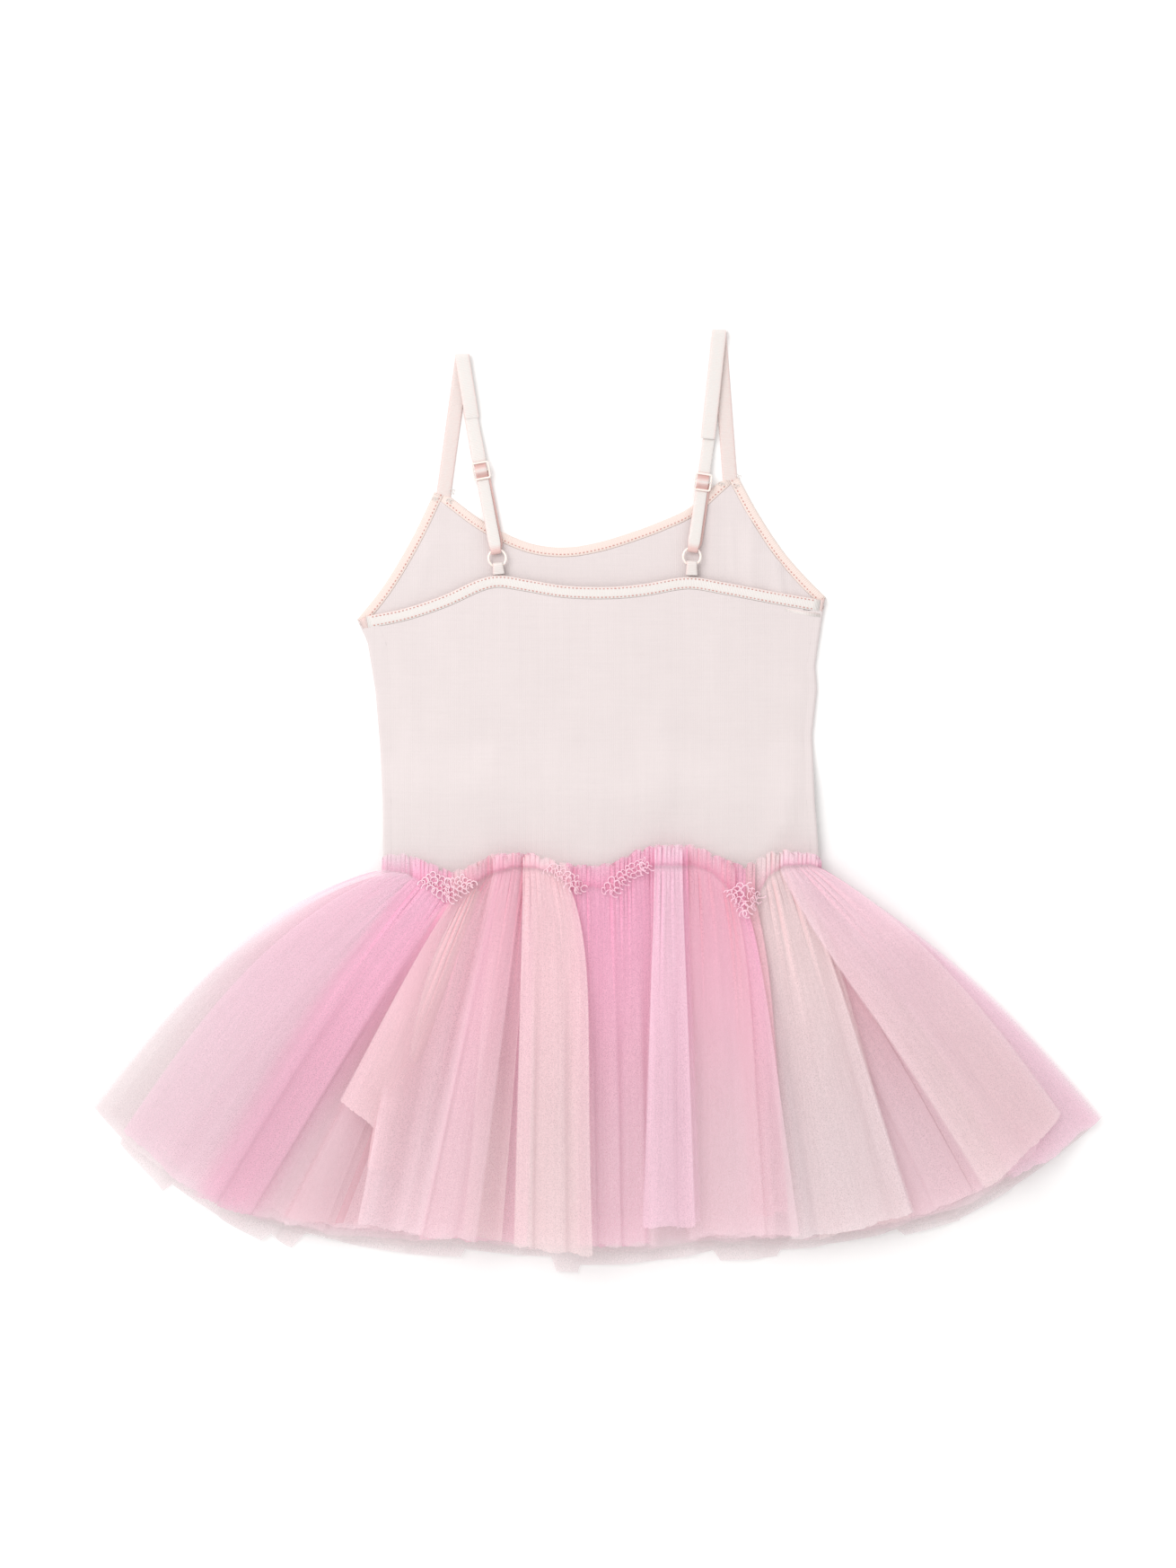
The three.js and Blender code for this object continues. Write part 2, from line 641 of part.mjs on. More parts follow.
// The strap runs up from the front panel, folds over at the top and comes down at the back
function strapPath(strap) {
  const { base, top, joint } = strap;
  const heights = strapHeights;
  const r = (heights.back - heights.front) / 2;
  const rising = level(base, top);
  const falling = level(joint, top);
  const path = [];
  for (const share of [0, 0.25, 0.5, 0.75, 1]) {
    const at = point(lerp(base.x, top.x, share), lerp(base.y, top.y - r, share), heights.front);
    path.push({ at, heading: rising });
  }
  for (const degrees of [35, 70, 110, 145]) {
    const a = degToRad(degrees);
    const at = point(top.x, top.y - r + r * Math.sin(a), heights.front + r * (1 - Math.cos(a)));
    path.push({ at, heading: lerp(rising, falling, degrees / 180) });
  }
  for (const share of [0, 0.33, 0.66, 1]) {
    const at = point(lerp(top.x, joint.x, share), lerp(top.y - r, joint.y, share), heights.back);
    path.push({ at, heading: falling });
  }
  return path;
}

// Elastic round a ring's wire: its upper leg, the turn inside the ring, and its lower leg
const wireTurn = ring.wire + loopGap + elastic / 2;
const wireTurnCentre = ring.turnIn + elastic / 2 + wireTurn + loopGap;
const legStart = ring.radius + 2;
function roundWire(centre, towards) {
  return [0, 40, 90, 140, 180].map((degrees) => ({
    far: centre + towards * wireTurn * Math.sin(degToRad(degrees)),
    z: ring.height + wireTurn * Math.cos(degToRad(degrees)),
  }));
}

// The adjuster runs from under the strap's end through the slider, round the ring and back up behind itself.
// Each row is a distance past the slider's top bar, along the line to the ring, and a height.
function adjusterPath(strap) {
  const { slider: from, ring: to, joint } = strap;
  const h = strapHeights;
  const heading = level(to, from);
  const down = point(to.x - from.x, to.y - from.y).normalize();
  const start = point(from.x, from.y).addScaledVector(down, -slider.length / 2);
  const toRing = point(to.x, to.y).distanceTo(start);
  const lap = 6;
  const toJoint = point(joint.x, joint.y).distanceTo(start) + lap;
  const middle = slider.length / 2;
  const half = slider.bar / 2 + slider.lead / 2;
  const upper = ring.height + wireTurn;
  const lower = ring.height - wireTurn;
  const rows = [
    { far: -toJoint, z: h.adjuster },
    { far: -toJoint + lap + 2, z: h.adjuster },
    { far: -1.5, z: h.sliderUnder },
    { far: slider.bar + slider.lead, z: h.sliderUnder },
    { far: middle - half, z: h.sliderOver },
    { far: middle + half, z: h.sliderOver },
    { far: slider.length - slider.bar - slider.lead, z: h.sliderUnder },
    { far: slider.length + 2, z: h.sliderUnder },
    { far: lerp(slider.length, toRing, 0.5), z: lerp(h.sliderUnder, upper, 0.5) },
    { far: toRing - legStart, z: upper },
    ...roundWire(toRing - wireTurnCentre, 1),
    { far: toRing - legStart, z: lower },
    { far: lerp(slider.length, toRing, 0.5), z: lerp(h.returned, lower, 0.5) },
    { far: middle, z: h.returned },
  ];
  return rows.map((row) => ({ at: start.clone().addScaledVector(down, row.far).setZ(row.z), heading }));
}

// The tab loops through the ring and ends at the back's binding
function tabPath(strap) {
  const { ring: from, tabEnd: to } = strap;
  const heading = level(to, from);
  const down = point(to.x - from.x, to.y - from.y).normalize();
  const far = point(to.x, to.y).distanceTo(point(from.x, from.y));
  const sewn = backHeight(to.x, to.y);
  const rows = [
    { far, z: sewn + (elastic + seam) / 2 },
    ...roundWire(wireTurnCentre, -1),
    { far, z: sewn - (elastic + seam) / 2 },
  ];
  return rows.map((row) => ({ at: point(from.x, from.y).addScaledVector(down, row.far).setZ(row.z), heading }));
}

// The slider: a rounded frame with a bar across its middle
function roundedRectangle(shape, x, y, w, h, r) {
  shape.moveTo(x + r, y);
  shape.lineTo(x + w - r, y);
  shape.absarc(x + w - r, y + r, r, -Math.PI / 2, 0);
  shape.lineTo(x + w, y + h - r);
  shape.absarc(x + w - r, y + h - r, r, 0, Math.PI / 2);
  shape.lineTo(x + r, y + h);
  shape.absarc(x + r, y + h - r, r, Math.PI / 2, Math.PI);
  shape.lineTo(x, y + r);
  shape.absarc(x + r, y + r, r, Math.PI, (3 * Math.PI) / 2);
  return shape;
}
function sliderGeometry() {
  const { length, width, bar, corner } = slider;
  const window = (length - 3 * bar) / 2;
  const shape = roundedRectangle(new THREE.Shape(), -width / 2, -length / 2, width, length, corner);
  for (const y of [-length / 2 + bar, bar / 2]) {
    shape.holes.push(
      roundedRectangle(new THREE.Path(), -width / 2 + bar, y, width - 2 * bar, window, corner / 3),
    );
  }
  return new THREE.ExtrudeGeometry(shape, { depth: hardware, bevelEnabled: false, curveSegments: 3 });
}

// Assembly
function piece(name, geometry, material) {
  const mesh = new THREE.Mesh(geometry, materials[material]);
  mesh.name = name;
  return mesh;
}

const bodice = new THREE.Group();
const bound = frontBindings();
bodice.add(
  piece("front_panel", frontPanel(), "jersey"),
  piece("back_panel", backPanel(), "jersey"),
  piece("neck_binding", bound.neck, "trim"),
  piece("armhole_binding_left", bound.left, "trim"),
  piece("armhole_binding_right", bound.right, "trim"),
  piece("back_binding", backBinding(), "satin"),
);

const strapSets = new THREE.Group();
for (const strap of straps) {
  const set = new THREE.Group();
  set.add(piece(`strap_${strap.side}`, ribbon(strapPath(strap), strapWidth, elastic), "satin"));
  set.add(piece(`adjuster_${strap.side}`, ribbon(adjusterPath(strap), adjusterWidth, elastic), "satin"));
  set.add(piece(`ring_tab_${strap.side}`, ribbon(tabPath(strap), adjusterWidth, elastic), "satin"));
  const frame = piece(`slider_${strap.side}`, sliderGeometry(), "plastic");
  frame.position.set(strap.slider.x, strap.slider.y, slider.bottom);
  frame.rotation.z = level(strap.ring, strap.slider);
  const loop = new THREE.TorusGeometry(ring.radius, ring.wire, ring.wireSides, ring.arcSides);
  const hoop = piece(`ring_${strap.side}`, loop, "plastic");
  hoop.position.set(strap.ring.x, strap.ring.y, ring.height);
  set.add(frame, hoop);
  strapSets.add(set);
}

const skirt = new THREE.Group();
skirt.add(piece("tulle_front", frontTulle(), "underlayer"));
skirt.add(piece("tulle_under", underTulle(), "underlayer"));
for (const panel of tullePanels) {
  skirt.add(piece(`tulle_${panel.n}_${panel.colour}`, backTulle(panel), panel.colour));
}

const dress = new THREE.Group();
dress.add(bodice, strapSets, skirt);
export default dress;
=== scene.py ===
import math
from collections import namedtuple

import bmesh
import bpy
import numpy as np
from bpy.props import FloatProperty, FloatVectorProperty, IntProperty, PointerProperty
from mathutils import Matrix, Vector


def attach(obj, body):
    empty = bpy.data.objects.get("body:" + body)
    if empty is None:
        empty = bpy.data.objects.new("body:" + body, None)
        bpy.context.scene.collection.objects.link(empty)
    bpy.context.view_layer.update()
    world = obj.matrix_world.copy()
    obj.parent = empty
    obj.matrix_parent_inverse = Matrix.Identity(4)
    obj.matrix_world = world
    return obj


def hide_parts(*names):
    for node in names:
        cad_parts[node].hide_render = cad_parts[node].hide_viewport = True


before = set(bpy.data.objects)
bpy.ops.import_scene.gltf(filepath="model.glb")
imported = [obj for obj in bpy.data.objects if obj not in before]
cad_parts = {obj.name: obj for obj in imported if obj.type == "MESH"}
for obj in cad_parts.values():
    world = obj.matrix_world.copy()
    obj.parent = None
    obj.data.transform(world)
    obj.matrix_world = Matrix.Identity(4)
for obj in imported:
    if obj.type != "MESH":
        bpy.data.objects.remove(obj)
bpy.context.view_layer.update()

bl_info = {
    "name": "Ballet dress",
    "version": (1, 0, 0),
    "blender": (4, 5, 0),
    "location": "3D View > Sidebar > Dress",
    "description": "Makes a child's ballet dress with a jersey bodice and a gathered tulle skirt",
    "category": "Object",
}

MM = 0.001

# Bodice sizes, as its CAD pieces have them
JERSEY = 1.2
BINDING = 1.6
ELASTIC = 1.0
SEAM = 0.02
SIDE_SEAM = 0.05
LOOP_GAP = 0.45
SIDE_ROLL = 1.1
SIDE_EDGE = JERSEY / 2 + SIDE_ROLL
FRONT_CORNERS = {"left": 97.5, "right": 110}
WAIST_LIFT = {"height": 4.5, "from": 36, "to": 0}
BODICE_BOTTOM = -66
BACK_DOME = {"height": 2.4, "from": -30, "to": 30}
FRONT_BINDING_WIDTH = 5.5
BACK_BINDING_WIDTH = 7.1
UNDERARM_THICKNESS = 0.8 * BINDING
BINDING_RIB = 0.0011
# The binding's edges are painted this much darker than its tone, as painted shade where the tape rounds over
EDGE_SHADE = 0.93

# Finished outline of the bodice: each row is x and y
LEFT_SIDE = [
    (-123.2, -66), (-123.2, -28), (-123.2, 0), (-125.0, 31), (-127.8, 64), (-132.3, 92), (-138.3, 104.5),
]
RIGHT_SIDE = [
    (126.8, -66), (125.9, -24), (123.9, 0), (122.6, 39), (125.4, 65), (124.2, 78), (128.2, 104.5),
    (130.6, 117),
]
LEFT_ARMHOLE = [(-138.3, 104.5), (-123.7, 122.9), (-107.1, 150.5), (-94.0, 177.6)]
NECKLINE = [
    (-84.2, 174.4), (-68.4, 162.5), (-55.6, 155.1), (-37.3, 147.8), (-18.8, 145.9),
    (-0.4, 148.7), (18.0, 154.2), (36.3, 161.0), (52.0, 168.5), (69.5, 183.6),
]
RIGHT_ARMHOLE = [(80.3, 186.0), (91.6, 165.3), (106.3, 143.2), (119.2, 128.4), (130.6, 117.0)]
BACK_EDGE = [
    (-133.2, 106.4), (-110.8, 111.0), (-88.7, 118.4), (-68.4, 127.5), (-57.4, 129.8), (-40.9, 127.5),
    (-18.8, 123.9), (8.8, 123.3), (27.2, 125.1), (45.6, 128.4), (54.8, 128.8), (73.2, 125.7),
    (100.7, 120.5), (127.6, 115.9),
]

# How far the front turns over onto the back at each side: top of the turn, width there and at the waist
Turn = namedtuple("Turn", "top wide narrow")
LEFT_TURN = Turn(100.8, 9, 3)
RIGHT_TURN = Turn(109.8, 3, 3)
TURN_CLEAR = 0.6
FRONT_ROWS = 44
BACK_ROWS = 48

# Soft folds in the jersey: a ridge from one point to another
Fold = namedtuple("Fold", "x0 y0 x1 y1 width height")
FRONT_FOLDS = [
    Fold(88, 156, 87, 118, 5, 1.4),
    Fold(102, 138, 104, 112, 5, 1.2),
]
BACK_FOLDS = [
    Fold(120, 70, 118, 36, 6, 1.4),
    Fold(117, 36, 108, -14, 5, 2.2),
    Fold(-112, 84, -108, 30, 7, 0.8),
    Fold(40, 60, 34, 0, 9, 0.7),
]
# Finer creases that only the looks have
FRONT_CREASES = [
    Fold(94, 150, 95, 122, 2.0, 0.5),
    Fold(99, 146, 100, 116, 1.8, 0.45),
    Fold(109, 130, 112, 108, 2.4, 0.5),
    Fold(-96, 148, -104, 122, 4.0, 0.4),
    Fold(103.8, 133, 105.2, 118, 1.4, 0.9),
    Fold(66, 160, 68, 130, 2.2, 0.6),
    Fold(76, 158, 78, 126, 2.2, 0.5),
]
BACK_CREASES = [
    Fold(124, 34, 119, 4, 2.6, 0.7),
    Fold(122.5, 8, 113.5, -36, 1.8, 1.3),
    Fold(104, 26, 98, -30, 5.0, 0.5),
    Fold(-116, 20, -113, -24, 4.0, 0.5),
    Fold(-60, 30, -66, -30, 8.0, 0.35),
    Fold(6, 108, 10, 60, 9.0, 0.3),
    Fold(70, 104, 66, 40, 8.0, 0.35),
]

# The fan of the skirt
APEX = np.array([3.0, 74.0])
FAN = {"from": 220.2, "to": 318.4, "waist": -45}
# In degrees, how far its sides bow out and over what width it gets thinner; then where panels rise
FAN_BOW = 3
FAN_SIDE = 13
OVER_CHANGE = (0.44, 0.86)
HEM_RADIUS = [
    (220.2, 384), (232.0, 382), (241.0, 369), (249.5, 352), (256.0, 340), (264.0, 335), (274.0, 335),
    (281.0, 337), (288.0, 347), (295.0, 359), (303.0, 373), (311.8, 381), (318.4, 382.6),
]
Bulge = namedtuple("Bulge", "edge inner height power")
BULGES = [Bulge(220.2, 240, 19.5, 0.8), Bulge(318.4, 300, 10, 1)]

# Where the panels are stitched to the bodice and the top of their headings: x, stitch line, top
SCALLOPS = [
    (-124.0, -39.1, -30.5), (-109.4, -41.2, -30.0), (-97.0, -49.0, -35.0), (-84.2, -56.7, -40.5),
    (-71.3, -47.4, -36.0), (-60.5, -41.2, -30.5), (-48.7, -37.6, -29.5), (-35.3, -38.1, -30.0),
    (-23.9, -42.2, -34.0), (-13.6, -51.5, -36.5), (-3.3, -48.9, -36.8), (9.0, -53.0, -35.0),
    (19.3, -42.7, -29.0), (31.7, -37.0, -25.0), (54.3, -37.0, -25.0), (64.6, -40.7, -29.5),
    (73.4, -48.9, -33.5), (83.2, -62.0, -37.0), (91.0, -55.0, -32.5), (97.0, -43.5, -29.5),
    (106.0, -37.0, -28.0), (120.3, -36.0, -29.5), (127.5, -37.6, -32.0),
]
FRONT_STITCH = -42
FRONT_HEADING = 14
SKIRT_LENGTH = 230

# Heights between which each layer of tulle lies
LAYERS = {
    "front": {"waist": (0.3, 4.2), "middle": (0.3, 7.0), "hem": (0.3, 8.0), "side": (0.3, 1.6)},
    "under": {"waist": (8.2, 10.0), "middle": (8.2, 15.4), "hem": (8.4, 16.2), "side": (1.9, 3.5)},
    "lower": {"waist": (10.3, 13.5), "middle": (15.9, 24.4), "hem": (16.7, 26.0), "side": (3.8, 5.4)},
    "upper": {"waist": (13.8, 17.0), "middle": (24.9, 33.4), "hem": (26.5, 35.8), "side": (6.1, 7.7)},
}
HEADING_BANDS = {"front": (0.3, 4.2), "lower": (10.3, 15.2), "upper": (15.5, 20.6)}

# The skirt's CAD pieces: where each lies at the waist and the hem, and whether its sides lie over a neighbour
Panel = namedtuple("Panel", "name slot waist hem over")
PANELS = [
    Panel("tulle_front", "tulle_underlayer", (-124, 127.5), (220.2, 318.4), "front"),
    Panel("tulle_under", "tulle_underlayer", (-122.5, 126), (220.7, 317.9), "under"),
    Panel("tulle_1_lilac", "tulle_lilac", (-124, -83), (220.2, 243.5), (0, 0)),
    Panel("tulle_2_peach", "tulle_peach", (-86, -55), (239.2, 252.5), (1, 0)),
    Panel("tulle_3_pink", "tulle_pink", (-60, -34), (250.5, 262.5), (1, 0)),
    Panel("tulle_4_peach", "tulle_peach", (-38, -12), (261, 268.6), (1, 1)),
    Panel("tulle_5_rose", "tulle_rose", (-15, 28), (266.8, 275.5), (0, 0)),
    Panel("tulle_6_lilac", "tulle_lilac", (25, 56), (273.4, 279.6), (1, 1)),
    Panel("tulle_7_pink", "tulle_pink", (52, 89), (278, 290.2), (0, 1)),
    Panel("tulle_8_peach", "tulle_peach", (90, 115.5), (288.5, 299.5), (0, 0)),
    Panel("tulle_9_mauve", "tulle_mauve", (104, 127), (306.3, 315.5), (1, 1)),
    Panel("tulle_10_lilac", "tulle_lilac", (117, 127.5), (308.4, 318.4), (0, 0)),
]

# The single layers of net in each piece. cut is each side's share of the way to the hem, lean how strongly
# its folds lie over, and depth its share of the piece's height. tint and cover are given at the waist and the
# hem, and soft is the share of the width over which each side fades, given a second time where it differs
# lower down. heading is 1 where it has a ruffle, and puff is how far its sides swell out.
Ply = namedtuple("Ply", "waist hem cut folds lean depth tint cover soft heading puff", defaults=(1, (0, 0)))
NOTCH = ((0, 0.6), (0.41, 0.672), (0.5, 0.78), (1, 0.8))
PLIES = {
    "tulle_front": [
        Ply((-124, 127.5), (220.2, 318.4), "stepped", 17, 0.7, (0, 0.45),
            "blush pale", (0.42, 0.46), (0, 0)),
        Ply((-122, 126), (221.6, 317.2), (0.985, 0.985), 13, -0.8, (0.45, 1),
            "rosy pale", (0.45, 0.3), (0.01, 0.01), 0),
    ],
    "tulle_under": [
        Ply((-118, 124), (224.4, 315.4), (0.955, 0.96), 13, 0.8, (0, 0.4),
            "rosy blush", (0.5, 0.3), (0.03, 0.04), 0),
        Ply((-112, 120), (230, 312.8), (0.972, 0.968), 11, -0.8, (0.35, 0.7),
            "hot blush", (0.5, 0.3), (0.08, 0.08), 0),
        Ply((-96, -60), (236.5, 249.5), (0.94, 0.95), 3, 0.9, (0.65, 1),
            "dusty blush", (0.6, 0.42), (0.1, 0.15), 0),
        Ply((-88, -70), (239.5, 246.5), (0.955, 0.935), 3, -1.2, (0.5, 0.9),
            "dusty dusty", (0.5, 0.4), (0.1, 0.1), 0),
        Ply((86, 116), (296, 310), (0.955, 0.95), 3, -1.0, (0.65, 1),
            "dusty blush", (0.8, 0.4), (0.12, 0.12), 0),
        Ply((92, 112), (299, 307), (0.96, 0.945), 2, 1.0, (0.5, 0.9),
            "dusty blush", (0.6, 0.34), (0.1, 0.1), 0),
    ],
    "tulle_1_lilac": [
        Ply((-124, -90), (220.2, 231), (1.0, 0.985), 2, 0.4, (0, 0.3),
            "lilac pale", (0.5, 0.38), (0, 0.3)),
        Ply((-118, -88), (223.7, 236.5), (0.985, 0.97), 2, -0.4, (0.3, 0.6),
            "lilac lilac", (0.5, 0.38), (0, 0.2), 0),
        Ply((-106, -81), (231.6, 238.6), (0.985, 0.97), 2, 0.6, (0.6, 1),
            "hot rose", (0.66, 0.46), (0.18, 0.3)),
        Ply((-96, -81), (234.5, 243.5), (0.97, 0.96), 3, -0.8, (0, 0.4),
            "hot blush", (0.5, 0.32), (0.1, 0.1), 0),
    ],
    "tulle_2_peach": [
        Ply((-84, -55), (239.2, 250.5), NOTCH, 1, 0.4, (0.35, 0.65),
            "peach peach", (0.55, 0.52), (0, 0.4), 1, (2, 0)),
        Ply((-78, -54), (247, 252.5), (0.93, 0.955), 2, -0.5, (0.6, 1),
            "rosy blush", (0.5, 0.46), (0.5, 0.1, 0.02, 0.1), 1, (20, 0)),
        Ply((-74, -56), (247, 251.5), (0.925, 0.95), 2, 0.5, (0, 0.35),
            "peach blush", (0.45, 0.26), (0.2, 0.2), 1, (6, 0)),
    ],
    "tulle_3_pink": [
        Ply((-60, -42), (250.5, 257.6), (0.95, 0.965), 2, 0.5, (0.6, 1),
            "rosy blush", (0.5, 0.38), (0.15, 0.03)),
        Ply((-54, -38), (256.4, 260), (0.955, 0.96), 1, -0.5, (0.3, 0.6),
            "rosy beige", (0.45, 0.36), (0.02, 0.02), 1, (4, 0)),
        Ply((-58, -34), (252, 262.5), (0.962, 0.97), 2, -0.8, (0, 0.35),
            "hot rosy", (0.55, 0.38), (0.05, 0)),
    ],
    "tulle_4_peach": [
        Ply((-43, -16), (261.2, 268.8), (0.97, 0.985), 2, 0.5, (0.5, 1),
            "peach beige", (0.6, 0.46), (0, 0), 1, (0, 7)),
        Ply((-38, -20), (262.6, 267.6), (0.975, 0.98), 1, -0.6, (0, 0.5),
            "peach beige", (0.5, 0.3), (0.05, 0.05), 0, (0, 8)),
    ],
    "tulle_5_rose": [
        Ply((-20, 33), (266.8, 275.5), (0.955, 0.965), 4, 0.9, (0.5, 1),
            "hot blush", (0.58, 0.34), (0.05, 0.05)),
        Ply((-19, 32), (267.4, 274.6), (0.965, 0.96), 3, -1.0, (0, 0.5),
            "deep hot", (0.62, 0.34), (0.1, 0.1)),
    ],
    "tulle_6_lilac": [
        Ply((32, 48), (273.6, 279.1), (0.915, 0.92), 1, 0.5, (0.5, 1),
            "lilac lilac", (0.6, 0.46), (0, 0)),
        Ply((30, 51), (274.4, 279.6), (0.905, 0.91), 2, -0.6, (0, 0.5),
            "hot lilac", (0.5, 0.28), (0.08, 0.08)),
    ],
    "tulle_7_pink": [
        Ply((48, 84), (278, 286.6), (0.96, 0.955), 2, 0.6, (0, 0.35),
            "hot blush", (0.6, 0.36), (0.03, 0.03), 1, (0, 6)),
        Ply((50, 85), (279.4, 288.8), (0.955, 0.95), 2, -0.6, (0.35, 0.7),
            "hot blush", (0.55, 0.36), (0.02, 0), 0, (0, 3)),
        Ply((50, 78), (278.4, 285.6), (0.95, 0.945), 2, 0.6, (0.7, 1),
            "rosy blush", (0.42, 0.26), (0.03, 0.02), 1, (0, 4)),
        Ply((72, 89.5), (284, 287.9), (0.9, 0.88), 2, 0.6, (0, 0.2),
            "dusty rosy", (0.8, 0.3), (0.1, 0.02), 1, (0, 4)),
    ],
    "tulle_8_peach": [
        Ply((89, 112), (287.9, 299.5), (0.965, 0.945), 2, 0.6, (0.4, 1),
            "beige pale", (0.6, 0.5), (0, 0), 1, (1, 3)),
        Ply((92, 115.5), (290.6, 299), (0.97, 0.955), 1, -0.6, (0, 0.45),
            "beige beige", (0.5, 0.36), (0.05, 0.05), 0, (0, 5)),
    ],
    "tulle_9_mauve": [
        Ply((104, 125), (306.3, 315.5), (0.95, 0.915), 1, 0.4, (0.45, 1),
            "mauve beige", (0.58, 0.44), (0, 0), 1, (5, 5)),
        Ply((108, 127), (307.6, 315), (0.955, 0.92), 2, -0.6, (0, 0.45),
            "lilac blush", (0.4, 0.24), (0.05, 0.05), 1, (4, 4)),
    ],
    "tulle_10_lilac": [
        Ply((117, 127.5), (308.4, 318.4), (0.965, 1.0), 2, 0.4, (0.4, 1),
            "lilac lilac", (0.66, 0.52), (0.02, 0)),
        Ply((119, 127), (311, 317.6), (0.97, 0.99), 2, -0.5, (0, 0.45),
            "lilac mauve", (0.46, 0.36), (0.1, 0.02), 0),
    ],
}

# The cut edge of the front layer, which shows past the hem in steps: angles, and radii at its two ends
STEPPED_HEM = [
    (220.2, 224.6, 384.0, 384.0), (224.6, 230.2, 387.0, 390.0), (230.2, 238.4, 383.5, 380.3),
    (238.4, 241.9, 374.4, 374.0), (241.9, 255.8, 363.0, 345.4), (255.8, 264.9, 339.7, 335.8),
    (264.9, 267.7, 344.4, 344.6), (267.7, 281.3, 340.0, 336.9), (281.3, 287.1, 343.5, 349.8),
    (287.1, 298.4, 346.0, 361.5), (298.4, 303.6, 366.0, 375.0), (303.6, 318.4, 374.0, 382.8),
]

# Ends of satin sewn in at the underarms: upper edge, lower edge and how much of the darker back shows
UNDERARM_ENDS = [
    ("underarm_end_left", [(-137.2, 104.4), (-132.2, 106.2)], [(-134.6, 98.8), (-130.6, 99.2)], 0.55),
    ("underarm_end_right", [(126.6, 115.8), (129.9, 116.6)], [(125.4, 109.0), (128.2, 108.6)], 0.55),
    (
        "underarm_strip",
        [(107, 111.4), (117, 109.6), (127.2, 108.2)], [(107, 109.2), (117, 107.0), (127.2, 105.4)], 0.05,
    ),
]

# Shoulder straps: where each starts, turns over and joins its adjuster, and its slider, ring and tab
Strap = namedtuple("Strap", "side base top joint slider ring tab_end")
STRAPS = [
    Strap(
        "left", (-88.6, 177.3), (-78.0, 256.3), (-72.3, 219.8),
        (-67.2, 189.7), (-57.9, 139.6), (-57.0, 130.3),
    ),
    Strap(
        "right", (75.4, 185.9), (69.3, 270.2), (62.8, 208.0),
        (59.8, 183.2), (53.6, 140.6), (53.4, 129.7),
    ),
]
STRAP_WIDTH = 8.2
ADJUSTER_WIDTH = 6.8
STRAP_Z = {"front": 0.6, "back": 3.6, "adjuster": 2.3, "under": 3.7, "over": 6.2, "returned": 2.4}
SLIDER = {
    "length": 10.3, "width": 10.3, "bar": 1.1, "corner": 1.6, "bottom": 4.5, "lead": 0.6, "height": 0.9,
}
RING = {"radius": 5.0, "wire": 0.65, "height": 4.7, "turn_in": 1.85, "elastic": 5.8}
LEFT_STRAP_PRESSED = 1.1
LEFT_ADJUSTER_TOP = STRAP_WIDTH - 0.4
TUCKED_IN = 6
PALE_STRAP_POINTS = 9

# Sewing: how far rows of stitches lie from an edge and above the cloth, and the loops of loose thread
FRONT_INSET = FRONT_BINDING_WIDTH - 1.5
BACK_INSETS = (1.1, BACK_BINDING_WIDTH - 1.1)
STITCH_RISE = 0.05
LOOSE_LOOPS = ((-5, -3.5), (3.5, -4.5), (5, 1))
LOOSE_LOOP_RISE = 0.6
CURL_HEIGHT = 15.3
CURL_INSET = 2.2
# Spacing, radius and thickness of the loose loops, in metres
LOOSE_LOOP_SIZES = (0.0012, 0.0009, 0.00022)

# The stage, in metres
FLOOR_HALF = 6.0
WINDOW_SIZE = 1.6
WINDOW_PLACE = (-1.1, 0.9, 1.9)
SENSOR = 36
PICTURE_WIDTH = 0.8992
CAMERA_AIM = (-0.0059, 0.0103)
VIEW_END = 50
CLEAR_BOUNCES = 96


# What a user would change
def shade(code):
    """A colour written as six hex digits, as the linear values that Blender works in."""
    parts = [int(code[i : i + 2], 16) / 255 for i in (0, 2, 4)]
    return tuple(c / 12.92 if c <= 0.04045 else ((c + 0.055) / 1.055) ** 2.4 for c in parts)


def number(name, description, default, **kind):
    """A property that holds a number from nought up."""
    return FloatProperty(name=name, description=description, default=default, min=0, **kind)


def length(name, description, millimetres):
    """A property that holds a length."""
    return number(name, description, millimetres * MM, precision=5, subtype="DISTANCE", unit="LENGTH")


def colour(name, description, code):
    """A property that holds a colour."""
    return FloatVectorProperty(
        name=name, description=description, default=shade(code), min=0, max=1, size=3, subtype="COLOR"
    )


class DressBodice(bpy.types.PropertyGroup):
    """Sizes and colours of the jersey bodice."""

    wale: length("Wale pitch", "Distance between the knit's ribs", 0.9)
    jersey: colour("Jersey", "Colour of the jersey", "E0D5D4")
    binding: colour("Binding", "Colour of the bound edges", "EEDCD4")


class DressStraps(bpy.types.PropertyGroup):
    """Sizes and colours of the straps."""

    strap_width: length("Strap width", "Width of the satin elastic", STRAP_WIDTH)
    adjuster_width: length("Adjuster width", "Width of the elastic in the sliders", ADJUSTER_WIDTH)
    rib: length("Rib pitch", "Distance between the elastic's ribs", 0.8)
    satin: colour("Satin", "Colour of the satin elastic and the back band", "E5E0DC")
    edge: colour("Elastic edge", "Colour of the elastic's darker edge", "F2D4CF")
    # This colour also paints the shade inside the sliders' windows
    back: colour("Elastic back", "Colour of the back of the elastic", "E2BAB4")
    plastic: colour("Plastic", "Colour of the sliders and rings", "FAEDE6")


